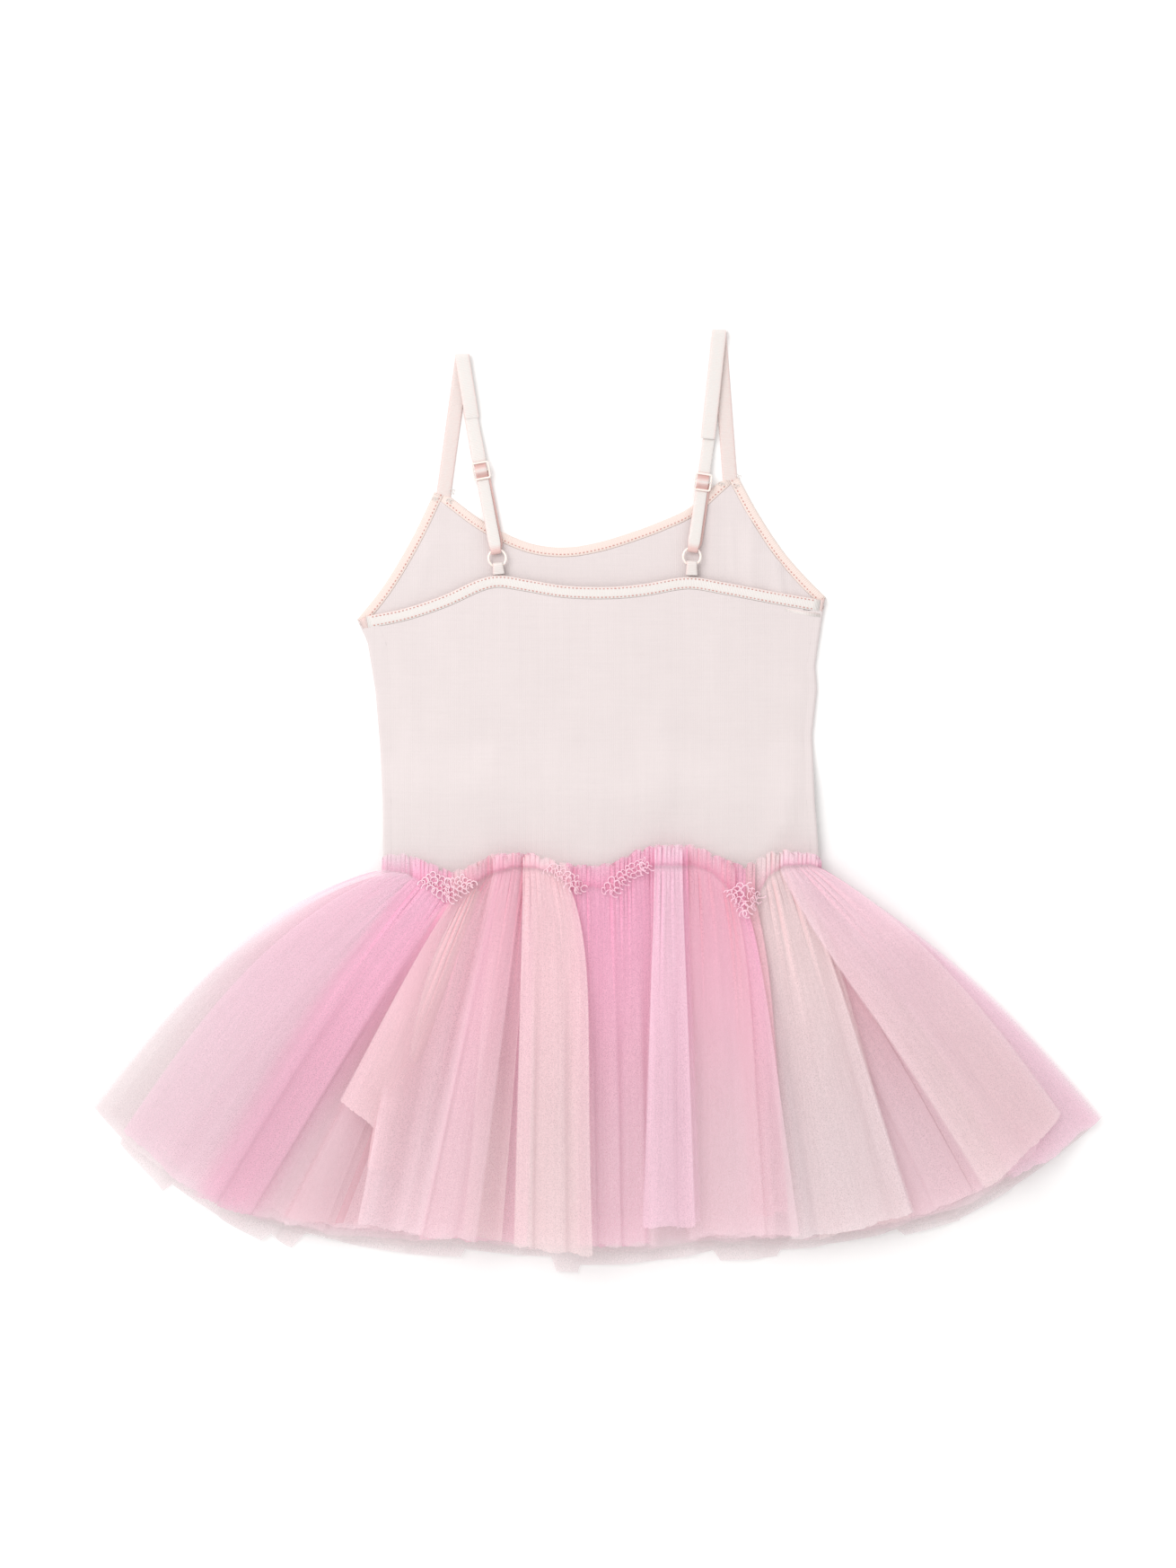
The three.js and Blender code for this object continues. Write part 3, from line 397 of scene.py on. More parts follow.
class DressTulle(bpy.types.PropertyGroup):
    """Gathers, net and colours of the skirt."""

    gather: length("Gather pitch", "Distance between the gathers at the stitch line", 2.7)
    cell: length("Net cell", "Size of a hole in the net", 1.0)
    cover: number("Cover", "How much of the light the net stops, beside its own density", 1.0)
    pale: colour("Pale", "The palest net, at the outer hem", "F1E2E4")
    blush: colour("Blush", "Pale pink net", "F9DBE3")
    beige: colour("Beige", "Pale beige net", "F6DDDE")
    peach: colour("Peach", "Peach net", "FAD4DA")
    rosy: colour("Rosy", "Warm pink net", "F9C4D3")
    hot: colour("Hot pink", "Strong pink net", "FAB8D4")
    rose: colour("Rose", "The strong pink's shaded lower end", "EBAEC7")
    deep: colour("Deep pink", "The strongest pink, in the middle gathers", "F294C0")
    lilac: colour("Lilac", "Lilac net", "F7CFE0")
    mauve: colour("Mauve", "Mauve net", "F7D6E0")
    dusty: colour("Dusty rose", "Net of the layers beneath", "E8B3BD")


class DressStitches(bpy.types.PropertyGroup):
    """Sizes and colour of the sewing."""

    stitch: length("Stitch length", "Length of one topstitch", 1.3)
    spacing: length("Stitch spacing", "Distance from one topstitch to the next", 2.2)
    thread: length("Thread", "Thickness of the thread", 0.75)
    curl: length("Curl", "Radius of the frayed curls on the headings", 1.9)
    fray_width: length("Fray thickness", "Radius of a frayed strand", 0.36)
    curl_spacing: length("Curl spacing", "Distance between the frayed curls", 2.9)
    seed: IntProperty(name="Seed", description="Which of the uneven patterns is used", default=7, min=0)
    topstitch: colour("Topstitch", "Colour of the topstitching thread", "D59C94")
    # The pale fray colour is a painted highlight on the curls, mixed with their panel's tint
    fray: colour("Fray", "Colour of the frayed edge of the net", "FFDDE8")


class DressStage(bpy.types.PropertyGroup):
    """The floor, the lights and the camera."""

    camera_height: number("Camera height", "Height of the camera", 3.0, subtype="DISTANCE", unit="LENGTH")
    dome: number("Dome light", "Strength of the light from all round", 0.86)
    window: number("Soft light", "Power of the large soft light", 27.0, subtype="POWER", unit="POWER")
    floor: colour("Floor", "Colour of the floor", "FDFCFB")


# Small helpers on numbers and lines
def lerp(a, b, t):
    return a + (b - a) * t


def smooth(start, end, at):
    t = np.clip((at - start) / (end - start), 0, 1)
    return t * t * (3 - 2 * t)


def read(rows, at, key=0, column=1):
    """Reads one column of a table at a place in another, with straight lines between the rows."""
    table = np.array(rows, float)
    return np.interp(at, table[:, key], table[:, column])


def smooth_line(rows, steps):
    """A centripetal curve through the rows of a table, cut into steps."""
    p = np.array(rows, float)
    p = np.vstack([2 * p[0] - p[1], p, 2 * p[-1] - p[-2]])
    last = len(rows) - 1
    points = []
    for k in range(steps + 1):
        at = last * k / steps
        i = min(int(at), last - 1)
        w = at - i
        a, b, c, d = p[i : i + 4]
        ab, bc, cd = (max(np.linalg.norm(v), 1e-6) ** 0.5 for v in (b - a, c - b, d - c))
        start = ((b - a) / ab - (c - a) / (ab + bc) + (c - b) / bc) * bc
        end = ((c - b) / bc - (d - b) / (bc + cd) + (d - c) / cd) * bc
        points.append(
            b + start * w + (3 * c - 3 * b - 2 * start - end) * w**2 + (2 * b - 2 * c + start + end) * w**3
        )
    return np.array(points)


def moved(line, distance):
    """The same line moved to the right of its direction, which is towards the cloth on every edge here."""
    before = np.vstack([line[:1], line[:-1]])
    after = np.vstack([line[1:], line[-1:]])
    along = after - before
    along /= np.linalg.norm(along, axis=1, keepdims=True)
    return line + distance * np.column_stack([along[:, 1], -along[:, 0]])


def meeting(first, second):
    """Where two straight lines meet, each given by two points."""
    (a, b), (c, d) = first, second
    u, w = b - a, d - c
    t = ((c[0] - a[0]) * w[1] - (c[1] - a[1]) * w[0]) / (u[0] * w[1] - u[1] * w[0])
    return a + u * t


def uneven_phase(at, count, spread, rng):
    """How many folds lie before each place, where the folds aren't all of one width."""
    phase = count * at
    terms = max(2, min(12, count))
    for k in range(1, terms + 1):
        size = spread * count / (terms * 2 * math.pi * k)
        start = rng.uniform(0, 2 * math.pi)
        phase = phase + size * (np.sin(2 * math.pi * k * at + start) - math.sin(start))
    return phase


# Meshes
def grid_faces(rows, columns):
    i, j = np.meshgrid(np.arange(rows - 1), np.arange(columns - 1), indexing="ij")
    a = i * columns + j
    return np.stack([a, a + columns, a + columns + 1, a + 1], axis=-1).reshape(-1, 4)


def ring_faces(count, sides, closed=False):
    """Faces between rings of points, and from the last ring to the first if it is closed."""
    faces = []
    for i in range(count if closed else count - 1):
        here, there = i * sides, (i + 1) % count * sides
        for j in range(sides):
            m = (j + 1) % sides
            faces.append((here + j, here + m, there + m, there + j))
    return faces


def placed(name, mesh):
    """A smooth object of a mesh, in the scene."""
    mesh.polygons.foreach_set("use_smooth", np.ones(len(mesh.polygons), bool))
    made = bpy.data.objects.new(name, mesh)
    bpy.context.scene.collection.objects.link(made)
    return made


def set_tint(mesh, tint):
    """Gives each point of a mesh a colour."""
    rgba = np.column_stack([tint, np.ones(len(tint))]).astype(np.float32)
    mesh.attributes.new("tint", "FLOAT_COLOR", "POINT").data.foreach_set("color", rgba.ravel())


def new_object(name, points, faces, uv=None, tint=None, amount=None):
    """An object from points in millimetres. UVs are metres, and they and the attributes are per point."""
    mesh = bpy.data.meshes.new(name)
    mesh.from_pydata((np.asarray(points, float) * MM).tolist(), [], [list(map(int, f)) for f in faces])
    if uv is not None:
        corners = np.empty(len(mesh.loops), np.int32)
        mesh.loops.foreach_get("vertex_index", corners)
        layer = mesh.uv_layers.new(name="cloth")
        layer.data.foreach_set("uv", np.asarray(uv, np.float32)[corners].ravel())
    if tint is not None:
        set_tint(mesh, tint)
    if amount is not None:
        values = np.asarray(amount, np.float32)
        mesh.attributes.new("amount", "FLOAT", "POINT").data.foreach_set("value", values)
    mesh.update()
    return placed(name, mesh)


def close_up(obj):
    """Merges doubles, closes open ends and turns every face outwards."""
    work = bmesh.new()
    work.from_mesh(obj.data)
    bmesh.ops.remove_doubles(work, verts=work.verts, dist=1e-6)
    bmesh.ops.holes_fill(work, edges=[e for e in work.edges if e.is_boundary], sides=0)
    bmesh.ops.recalc_face_normals(work, faces=work.faces)
    work.to_mesh(obj.data)
    work.free()
    obj.data.update()


def cloth_wall(name, grid, thickness):
    """A closed wall of one thickness about a grid of points, flat where it rests on the floor."""
    down = np.gradient(grid, axis=0)
    across = np.gradient(grid, axis=1)
    out = np.cross(down, across)
    out /= np.maximum(np.linalg.norm(out, axis=2, keepdims=True), 1e-9)
    sides = []
    for sign in (1, -1):
        side = grid + out * sign * thickness / 2
        side[..., 2] = np.maximum(side[..., 2], 0.02)
        sides.append(side)
    rows, columns = grid.shape[:2]
    one = rows * columns
    faces = [grid_faces(rows, columns), grid_faces(rows, columns)[:, ::-1] + one]
    rim = [(i, 0) for i in range(rows - 1)] + [(rows - 1, j) for j in range(columns - 1)]
    rim += [(i, columns - 1) for i in range(rows - 1, 0, -1)] + [(0, j) for j in range(columns - 1, 0, -1)]
    loop = [i * columns + j for i, j in rim]
    following = loop[1:] + loop[:1]
    faces.append(np.array([(n, k, k + one, n + one) for k, n in zip(loop, following)]))
    points = np.concatenate([s.reshape(-1, 3) for s in sides])
    made = new_object(name, points, np.concatenate(faces), uv=points[:, :2] * MM)
    made.data.set_sharp_from_angle(angle=math.radians(50))
    return made


# Outline of a tape: share of its width, and of half its thickness
TAPE_SECTION = [
    (0.0, 0.0), (0.025, 0.6), (0.09, 0.93), (0.3, 1.0), (0.5, 1.0), (0.7, 1.0), (0.91, 0.93), (0.975, 0.6),
    (1.0, 0.0), (0.975, -0.6), (0.91, -0.93), (0.7, -1.0), (0.5, -1.0), (0.3, -1.0), (0.09, -0.93),
    (0.025, -0.6),
]


def tape(name, left, right, thickness, back_and_shade=0.0):
    """A band with rounded edges between two lines of points. back_and_shade is how much the colour of its
    darker back shows; inside the sliders this colour is painted shade.
    """
    left, right = np.asarray(left, float), np.asarray(right, float)
    middle = (left + right) / 2
    along = np.gradient(middle, axis=0)
    out = np.cross(right - left, along)
    out /= np.linalg.norm(out, axis=1, keepdims=True)
    section = np.array(TAPE_SECTION)
    rings = (
        left[:, None]
        + (right - left)[:, None] * section[None, :, :1]
        + out[:, None] * section[None, :, 1:] * thickness / 2
    )
    rings[..., 2] = np.maximum(rings[..., 2], 0.02)
    count, sides = rings.shape[:2]
    far = np.concatenate([[0], np.cumsum(np.linalg.norm(np.diff(middle, axis=0), axis=1))])
    width = np.linalg.norm(right - left, axis=1)
    uv = np.stack(np.broadcast_arrays(section[None, :, 0] * width[:, None], far[:, None]), axis=-1) * MM
    amount = np.broadcast_to(np.reshape(back_and_shade, (-1, 1)), (count, sides))
    faces = ring_faces(count, sides)
    made = new_object(name, rings.reshape(-1, 3), faces, uv=uv.reshape(-1, 2), amount=amount.ravel())
    close_up(made)
    return made


def wire(name, centre_line, wide, high):
    """A closed loop of rounded section along a line of points, wide in the plane and high across it."""
    line = np.asarray(centre_line, float)
    along = np.roll(line, -1, axis=0) - np.roll(line, 1, axis=0)
    along /= np.linalg.norm(along, axis=1, keepdims=True)
    outward = np.column_stack([along[:, 1], -along[:, 0], np.zeros(len(line))])
    angles = np.linspace(0, 2 * math.pi, 12, endpoint=False)
    bend, rise = (np.sign(c) * np.abs(c) ** 0.75 / 2 for c in (np.cos(angles), np.sin(angles)))
    up = np.array([0, 0, 1.0])
    rings = line[:, None] + outward[:, None] * (bend * wide)[None, :, None] + up * (rise * high)[None, :, None]
    made = new_object(name, rings.reshape(-1, 3), ring_faces(len(line), len(angles), closed=True))
    close_up(made)
    return made


def joined(name, objects):
    """One object from several, in the first one's place."""
    with bpy.context.temp_override(active_object=objects[0], selected_editable_objects=objects):
        bpy.ops.object.join()
    objects[0].name = name
    objects[0].data.name = name
    return objects[0]


# Shaders
class Value:
    """A number on a node's output, so that shader maths is written as sums."""

    def __init__(self, nodes, socket):
        self.nodes = nodes
        self.socket = socket

    def maths(self, operation, first, second=0.0):
        node = self.nodes.add("ShaderNodeMath", {"operation": operation}, {0: first, 1: second})
        return Value(self.nodes, node.outputs[0])

    def __add__(self, other):
        return self.maths("ADD", self, other)

    __radd__ = __add__

    def __sub__(self, other):
        return self.maths("SUBTRACT", self, other)

    def __rsub__(self, other):
        return self.maths("SUBTRACT", other, self)

    def __mul__(self, other):
        return self.maths("MULTIPLY", self, other)

    __rmul__ = __mul__

    def __truediv__(self, other):
        return self.maths("DIVIDE", self, other)

    def __pow__(self, other):
        return self.maths("POWER", self, other)

    def at_most(self, other):
        return self.maths("MINIMUM", self, other)


class Nodes:
    """A node tree, and the one way in which nodes are added to it."""

    def __init__(self, tree):
        self.tree = tree

    def add(self, kind, settings=None, sockets=None):
        """A node of a type: its settings are set first, then its sockets' values or links."""
        node = self.tree.nodes.new(kind)
        for name, value in (settings or {}).items():
            setattr(node, name, value)
        for key, value in (sockets or {}).items():
            self.join(value, node.inputs[key])
        return node

    def join(self, value, socket):
        if isinstance(value, Value):
            value = value.socket
        if isinstance(value, bpy.types.NodeSocket):
            self.tree.links.new(value, socket)
        else:
            socket.default_value = value

    def value(self, kind, settings, sockets, output=0):
        """A number from a node's output."""
        return Value(self, self.add(kind, settings, sockets).outputs[output])

    def blend(self, factor, first, second):
        """A colour between two others."""
        mix = self.add("ShaderNodeMix", {"data_type": "RGBA"}, {0: factor, 6: first, 7: second})
        return mix.outputs[2]

    def spread(self, vector, scale):
        """A vector scaled along each axis."""
        node = self.add("ShaderNodeVectorMath", {"operation": "MULTIPLY"}, {0: vector, 1: scale})
        return node.outputs[0]

    def noise(self, vector, scale, detail=2.0, roughness=0.5):
        sockets = {"Vector": vector, "Scale": scale, "Detail": detail, "Roughness": roughness}
        return self.value("ShaderNodeTexNoise", None, sockets)

    def ridges(self, vector, pitch, direction="X", distortion=0.0):
        """Even ridges a pitch apart, in metres, from 0 to 1."""
        settings = {"wave_type": "BANDS", "bands_direction": direction}
        scale = 2 * math.pi / (20 * pitch)
        sockets = {"Vector": vector, "Scale": scale, "Distortion": distortion, "Detail": 1.0}
        return self.value("ShaderNodeTexWave", settings, sockets, 1)

    def bump(self, height, strength, distance):
        sockets = {"Height": height, "Strength": strength, "Distance": distance}
        return self.add("ShaderNodeBump", None, sockets).outputs[0]

    def on_object(self):
        """The place on the object."""
        return self.add("ShaderNodeTexCoord").outputs["Object"]

    def on_cloth(self):
        """The place on the flat cloth, from its UVs."""
        return self.add("ShaderNodeUVMap", {"uv_map": "cloth"}).outputs[0]

    def tint(self):
        """The colour that each point carries."""
        return self.add("ShaderNodeAttribute", {"attribute_name": "tint"}).outputs["Color"]

    def amount(self):
        """The number that each point carries."""
        return self.value("ShaderNodeAttribute", {"attribute_name": "amount"}, None, "Fac")


def rgba(tone, gain=1.0):
    return (*(min(1.0, c * gain) for c in tone), 1.0)


def finish_of(name, look, *sizes):
    """The material of a name, made once, whose one shader takes what look gives for its sockets."""
    material = bpy.data.materials.get(name)
    if material:
        return material
    material = bpy.data.materials.new(name)
    material.use_nodes = True
    nodes = Nodes(material.node_tree)
    shader = material.node_tree.nodes["Principled BSDF"]
    for key, value in look(nodes, *sizes).items():
        nodes.join(value, shader.inputs[key])
    return material


def jersey_look(nodes, tone, wale):
    """Fine knit: upright wales, uneven yarn and soft mottling."""
    place = nodes.on_object()
    mottle = nodes.noise(place, 38, 3, 0.6)
    slub = nodes.noise(nodes.spread(place, (60, 900, 60)), 1.0, 2)
    streak = nodes.noise(nodes.spread(place, (420, 16, 16)), 1.0, 2)
    wales = nodes.ridges(place, wale, "X", 0.6)
    uneven = (mottle - 0.5) * 0.5 + (slub - 0.5) * 0.35 + (streak - 0.5) * 0.3 + 0.35
    return {
        "Base Color": nodes.blend(uneven, rgba(tone, 1.03), rgba(tone, 0.9)),
        "Roughness": 0.78 + mottle * 0.15,
        "Normal": nodes.bump(wales * 0.5 + slub * 0.8 + mottle, 0.35, 0.0004),
        "Sheen Weight": 0.15,
        "Sheen Roughness": 0.5,
        "Specular IOR Level": 0.25,
    }


def tape_look(nodes, tone, edge, back_and_shade, rib, gloss):
    """Woven tape or elastic: ribs across its length, darker edges, a satin face and a darker back. On the
    binding the darker edges are painted shade, and inside the sliders the back's colour is painted shade.
    """
    place = nodes.on_cloth()
    ribs = nodes.ridges(place, rib, "Y", 0.3)
    wear = nodes.noise(place, 420, 3, 0.65)
    patch = nodes.noise(nodes.spread(place, (160, 60, 1)), 1.0, 2)
    across = nodes.value("ShaderNodeSeparateXYZ", None, {0: place}) / (STRAP_WIDTH * MM) - 0.5
    side = across.maths("ABSOLUTE", across) * 2
    # Towards the edges the colour goes to the edge colour: on the binding a darker copy of its tone, which is
    # painted shade, and on the elastic its pinker edge. Random wear and the ribs add to it.
    edges_and_wear = (side**6) * 0.7 + (wear - 0.5) * 0.7 + ribs * 0.12
    # How much of the back's colour shows: the elastic's real back, and painted shade inside the sliders
    back = nodes.amount()
    face = nodes.blend(edges_and_wear, rgba(tone), rgba(edge))
    return {
        "Base Color": nodes.blend(back + (wear - 0.5) * back * 0.6, face, rgba(back_and_shade)),
        "Roughness": (1 - gloss) + (patch - 0.5) * 0.45,
        "Normal": nodes.bump(ribs + wear * 0.6, 0.45, 0.0003),
        "Coat Weight": patch * gloss * 0.4,
        "Sheen Weight": 0.1,
    }


def plastic_look(nodes, tone):
    """Tinted moulded plastic with a faint flow pattern."""
    flow = nodes.noise(nodes.on_object(), 260, 2)
    return {
        "Base Color": nodes.blend(flow * 0.7, rgba(tone, 1.04), rgba(tone, 0.84)),
        "Roughness": 0.18 + flow * 0.2,
        "Normal": nodes.bump(flow, 0.1, 0.0002),
        "Coat Weight": 0.5,
        "Coat Roughness": 0.1,
        "Subsurface Weight": 0.1,
        "Subsurface Scale": 0.001,
    }


def thread_look(nodes, tone):
    """Twisted thread."""
    place = nodes.on_object()
    twist = nodes.noise(place, 1500, 1)
    patch = nodes.noise(place, 60, 2)
    return {
        "Base Color": nodes.blend(twist * 0.5 + patch * 0.3, rgba(tone, 1.1), rgba(tone, 0.78)),
        "Roughness": 0.5 + twist * 0.25,
        "Normal": nodes.bump(twist, 0.3, 0.0001),
    }


def fray_look(nodes, tone):
    """Strands of net in the tint of their panel, paler where they catch the light."""
    patch = nodes.noise(nodes.on_object(), 300, 2)
    return {
        "Base Color": nodes.blend(0.35 + patch * 0.4, nodes.tint(), rgba(tone)),
        "Roughness": 0.6 + patch * 0.2,
        "Sheen Weight": 0.1,
    }


def net_look(nodes, cell, cover):
    """Soft net: tint and density come from the cloth, its holes and its lengthwise streaks from the pattern."""
    place, tint, density = nodes.on_cloth(), nodes.tint(), nodes.amount()
    streak = nodes.noise(nodes.spread(place, (520, 9, 1)), 1.0, 3, 0.6)
    cloud = nodes.noise(nodes.spread(place, (70, 24, 1)), 1.0, 3, 0.6)
    fleck = nodes.noise(nodes.spread(place, (620, 380, 1)), 1.0, 2, 0.7)
    sockets = {"Vector": place, "Scale": 1 / cell}
    holes = nodes.value("ShaderNodeTexVoronoi", {"feature": "DISTANCE_TO_EDGE"}, sockets, "Distance")
    threads = 1 - (holes * 3.5).at_most(1.0)
    pattern = 0.45 + streak * 0.34 + cloud * 0.3 + fleck * 0.26 + (threads - 0.35) * 0.4
    sockets = {0: tint, 1: (0.5,) * 3, 2: (0.46,) * 3}
    paler = nodes.add("ShaderNodeVectorMath", {"operation": "MULTIPLY_ADD"}, sockets)
    return {
        "Base Color": nodes.blend((1.15 - streak) * 0.25, tint, paler.outputs[0]),
        "Alpha": (density * pattern * cover).at_most(0.97),
        "Roughness": 0.75 + streak * 0.15,
        "Sheen Weight": 0.1,
        "Specular IOR Level": 0.2,
    }


def floor_look(nodes, tone):
    """A pale, even surface."""
    grain = nodes.noise(nodes.on_object(), 6, 2)
    return {
        "Base Color": nodes.blend(grain, rgba(tone), rgba(tone, 0.985)),
        "Roughness": 0.9,
        "Specular IOR Level": 0.1,
    }


def satin_finish(scene):
    look = scene.dress_straps
    tones = (tuple(look.satin), tuple(look.edge), tuple(look.back))
    return finish_of("satin_elastic", tape_look, *tones, look.rib, 0.6)


def dress_up(obj, material, slot, *replaced):
    """Gives a finished piece its material and its place in the frame; slot is not used."""
    obj.data.materials.clear()
    obj.data.materials.append(material)
    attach(obj, "root")
    if replaced:
        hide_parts(*replaced)


# Heights and lines of the bodice
def ridge_heights(folds, x, y):
    """How high a table of soft folds stands at each place."""
    x, y = np.asarray(x, float), np.asarray(y, float)
    height = np.zeros(np.broadcast(x, y).shape)
    for f in folds:
        ax, ay = f.x1 - f.x0, f.y1 - f.y0
        t = np.clip(((x - f.x0) * ax + (y - f.y0) * ay) / (ax * ax + ay * ay), 0, 1)
        off = np.hypot(x - f.x0 - ax * t, y - f.y0 - ay * t)
        height = height + f.height * np.exp(-((off / f.width) ** 2))
    return height


def left_x(y):
    return read(LEFT_SIDE, y, 1, 0)


def right_x(y):
    return read(RIGHT_SIDE, y, 1, 0)


def lift(y):
    """How far the bodice rises towards the waist, where it lies on the skirt's seams."""
    return WAIST_LIFT["height"] * smooth(WAIST_LIFT["from"], WAIST_LIFT["to"], y)


def turn_width(side, y):
    return lerp(side.narrow, side.wide, smooth(0, side.top, y))


def front_height(x, y):
    return JERSEY / 2 + lift(y) + ridge_heights(FRONT_FOLDS, x, y)


def left_seam(y):
    return left_x(y) + SIDE_EDGE + turn_width(LEFT_TURN, y)


def right_seam(y):
    return right_x(y) - SIDE_EDGE - turn_width(RIGHT_TURN, y)


def inside_back(x, y):
    """From 0 at the back panel's sides to 1 in its middle."""
    across = np.clip((x - left_seam(y)) / (right_seam(y) - left_seam(y)), 0, 1)
    return 1 - np.abs(2 * across - 1) ** 2.5


def back_height(x, y):
    inside = inside_back(x, y)
    dome = BACK_DOME["height"] * inside * smooth(BACK_DOME["from"], BACK_DOME["to"], y)
    soft = ridge_heights(BACK_FOLDS, x, y) * np.minimum(1, inside * 4)
    return JERSEY / 2 + lift(y) + 2 * SIDE_ROLL + dome + soft


def binding_height(x, y):
    return np.full(np.shape(x), BINDING / 2)


ARM_LEFT = smooth_line(LEFT_ARMHOLE, 30)
ARM_RIGHT = smooth_line(RIGHT_ARMHOLE, 30)
NECK = smooth_line(NECKLINE, 56)
BACK_TOP = smooth_line(BACK_EDGE, 78)


def with_height(line, height):
    """A flat line of points, laid on a height that depends on the place."""
    line = np.asarray(line, float)
    return np.column_stack([line, height(line[:, 0], line[:, 1])])


def neck_lines():
    """The neckline binding's two edges, which butt against the armholes' bindings."""
    beside_left = moved(ARM_LEFT, FRONT_BINDING_WIDTH + SEAM)[-2:]
    beside_right = moved(ARM_RIGHT, FRONT_BINDING_WIDTH + SEAM)[:2]
    inner = moved(NECK, FRONT_BINDING_WIDTH)
    corners = [meeting(beside_left, (NECK[0], ARM_LEFT[-1])), meeting(beside_right, (NECK[-1], ARM_RIGHT[0]))]
    inner_corners = [meeting(beside_left, inner[:2]), meeting(beside_right, inner[-2:])]
    outer_line = np.array([corners[0], *NECK, corners[1]])
    return outer_line, np.array([inner_corners[0], *inner, inner_corners[1]])


def front_top():
    """The front panel's top edge, just inside its bindings."""
    gap = FRONT_BINDING_WIDTH + SEAM
    left, right, neck = moved(ARM_LEFT, gap), moved(ARM_RIGHT, gap), moved(NECK, gap)
    low, high = FRONT_CORNERS["left"], FRONT_CORNERS["right"]
    corner_left = np.array([left_x(low) + SIDE_EDGE, low])
    corner_right = np.array([right_x(high) - SIDE_EDGE, high])
    top = [corner_left, *left[1:-1], meeting(left[-2:], neck[:2]), *neck[1:-1]]
    top += [meeting(right[:2], neck[-2:]), *right[1:-1], corner_right]
    return np.array(top)


def rolled_side(side, side_x, inward, v):
    """Columns of points that carry the front panel round its side and onto the back."""
    columns = []
    for angle, flat in [(180, s) for s in (1, 0.66, 0.33, 0)] + [(a, 0) for a in range(165, 10, -15)]:
        drop = np.interp(180 - angle, [0, 60, 120], [0, 1, 3])
        a = math.radians(angle)
        y = lerp(side.top + drop, BODICE_BOTTOM, v)
        x = side_x(y) + inward * (SIDE_EDGE - SIDE_ROLL * math.sin(a) + flat * turn_width(side, y))
        z = front_height(x, y) + SIDE_ROLL * (1 - math.cos(a))
        columns.append(np.stack([x, y, z], axis=-1))
    return np.stack(columns, axis=1)


def front_grid():
    """Points of the front panel, row by row from its top edge to the waist, with its turned sides."""
    top = front_top()
    v = np.linspace(0, 1, FRONT_ROWS + 1)[:, None]
    x0, y0 = top[:, 0], top[:, 1]
    share_top = (x0 - left_x(y0) - SIDE_EDGE) / (right_x(y0) - left_x(y0) - 2 * SIDE_EDGE)
    share_even = np.arange(len(top)) / (len(top) - 1)
    part = lerp(np.maximum.accumulate(share_top), share_even, 0.5 * v)
    y = lerp(y0, BODICE_BOTTOM, v)
    x = left_x(y) + SIDE_EDGE + part * (right_x(y) - left_x(y) - 2 * SIDE_EDGE)
    z = front_height(x, y) + ridge_heights(FRONT_CREASES, x, y)
    left = rolled_side(LEFT_TURN, left_x, 1, v[:, 0])
    right = rolled_side(RIGHT_TURN, right_x, -1, v[:, 0])[:, ::-1]
    return np.concatenate([left, np.stack([x, y, z], axis=-1), right], axis=1)


def back_grid():
    """Points of the back panel, row by row from its band to the waist, between the front's turned sides."""
    below = moved(BACK_TOP, BACK_BINDING_WIDTH + SEAM)
    start = left_seam(LEFT_TURN.top + TURN_CLEAR) + SIDE_SEAM
    end = right_seam(RIGHT_TURN.top + TURN_CLEAR) - SIDE_SEAM
    inside = below[(below[:, 0] > start + 1) & (below[:, 0] < end - 1)]
    corners = [np.array([x, np.interp(x, below[:, 0], below[:, 1])]) for x in (start, end)]
    top = np.array([corners[0], *inside, corners[1]])
    part = (top[:, 0] - start) / (end - start)
    lines = [top]
    for v in np.linspace(0, 1, BACK_ROWS + 1):
        y = lerp(lerp(LEFT_TURN.top, RIGHT_TURN.top, part), BODICE_BOTTOM, v)
        x = lerp(left_seam(y) + SIDE_SEAM, right_seam(y) - SIDE_SEAM, part)
        lines.append(np.column_stack([x, y]))
    grid = np.array(lines)
    x, y = grid[..., 0], grid[..., 1]
    z = back_height(x, y) + ridge_heights(BACK_CREASES, x, y) * np.minimum(1, inside_back(x, y) * 4)
    return np.stack([x, y, z], axis=-1)


# The skirt
def hem_point(angle):
    """The place on the hem at an angle of the fan."""
    r = read(HEM_RADIUS, angle)
    a = np.radians(angle)
    return np.stack([APEX[0] + r * np.cos(a), APEX[1] + r * np.sin(a)], axis=-1)


def place_in_fan(x, y):
    """The share of the way from the waist to the hem, and how far inside the fan's sides a place is."""
    angle = np.degrees(np.arctan2(y - APEX[1], x - APEX[0])) % 360
    waist = (APEX[1] - FAN["waist"]) / np.maximum(np.abs(np.sin(np.radians(angle))), 0.05)
    hem = read(HEM_RADIUS, angle)
    down = (np.hypot(x - APEX[0], y - APEX[1]) - waist) / (hem - waist)
    bow = FAN_BOW * np.sin(math.pi * np.clip(down, 0, 1))
    from_side = np.minimum(angle - (FAN["from"] - bow), FAN["to"] + bow / 2 - angle)
    return down, smooth(0, FAN_SIDE, from_side)


def layer_heights(layer, x, y):
    """The lowest and highest that a layer lies at a place."""
    down, inside = place_in_fan(x, y)
    sides = (1 - inside) * smooth(0.16, 0.42, down)
    heights = []
    for k in (0, 1):
        upper = lerp(layer["waist"][k], layer["middle"][k], smooth(0.1, 0.5, down))
        opened = lerp(upper, layer["hem"][k], smooth(0.45, 1.05, down))
        heights.append(lerp(opened, layer["side"][k], sides))
    return heights


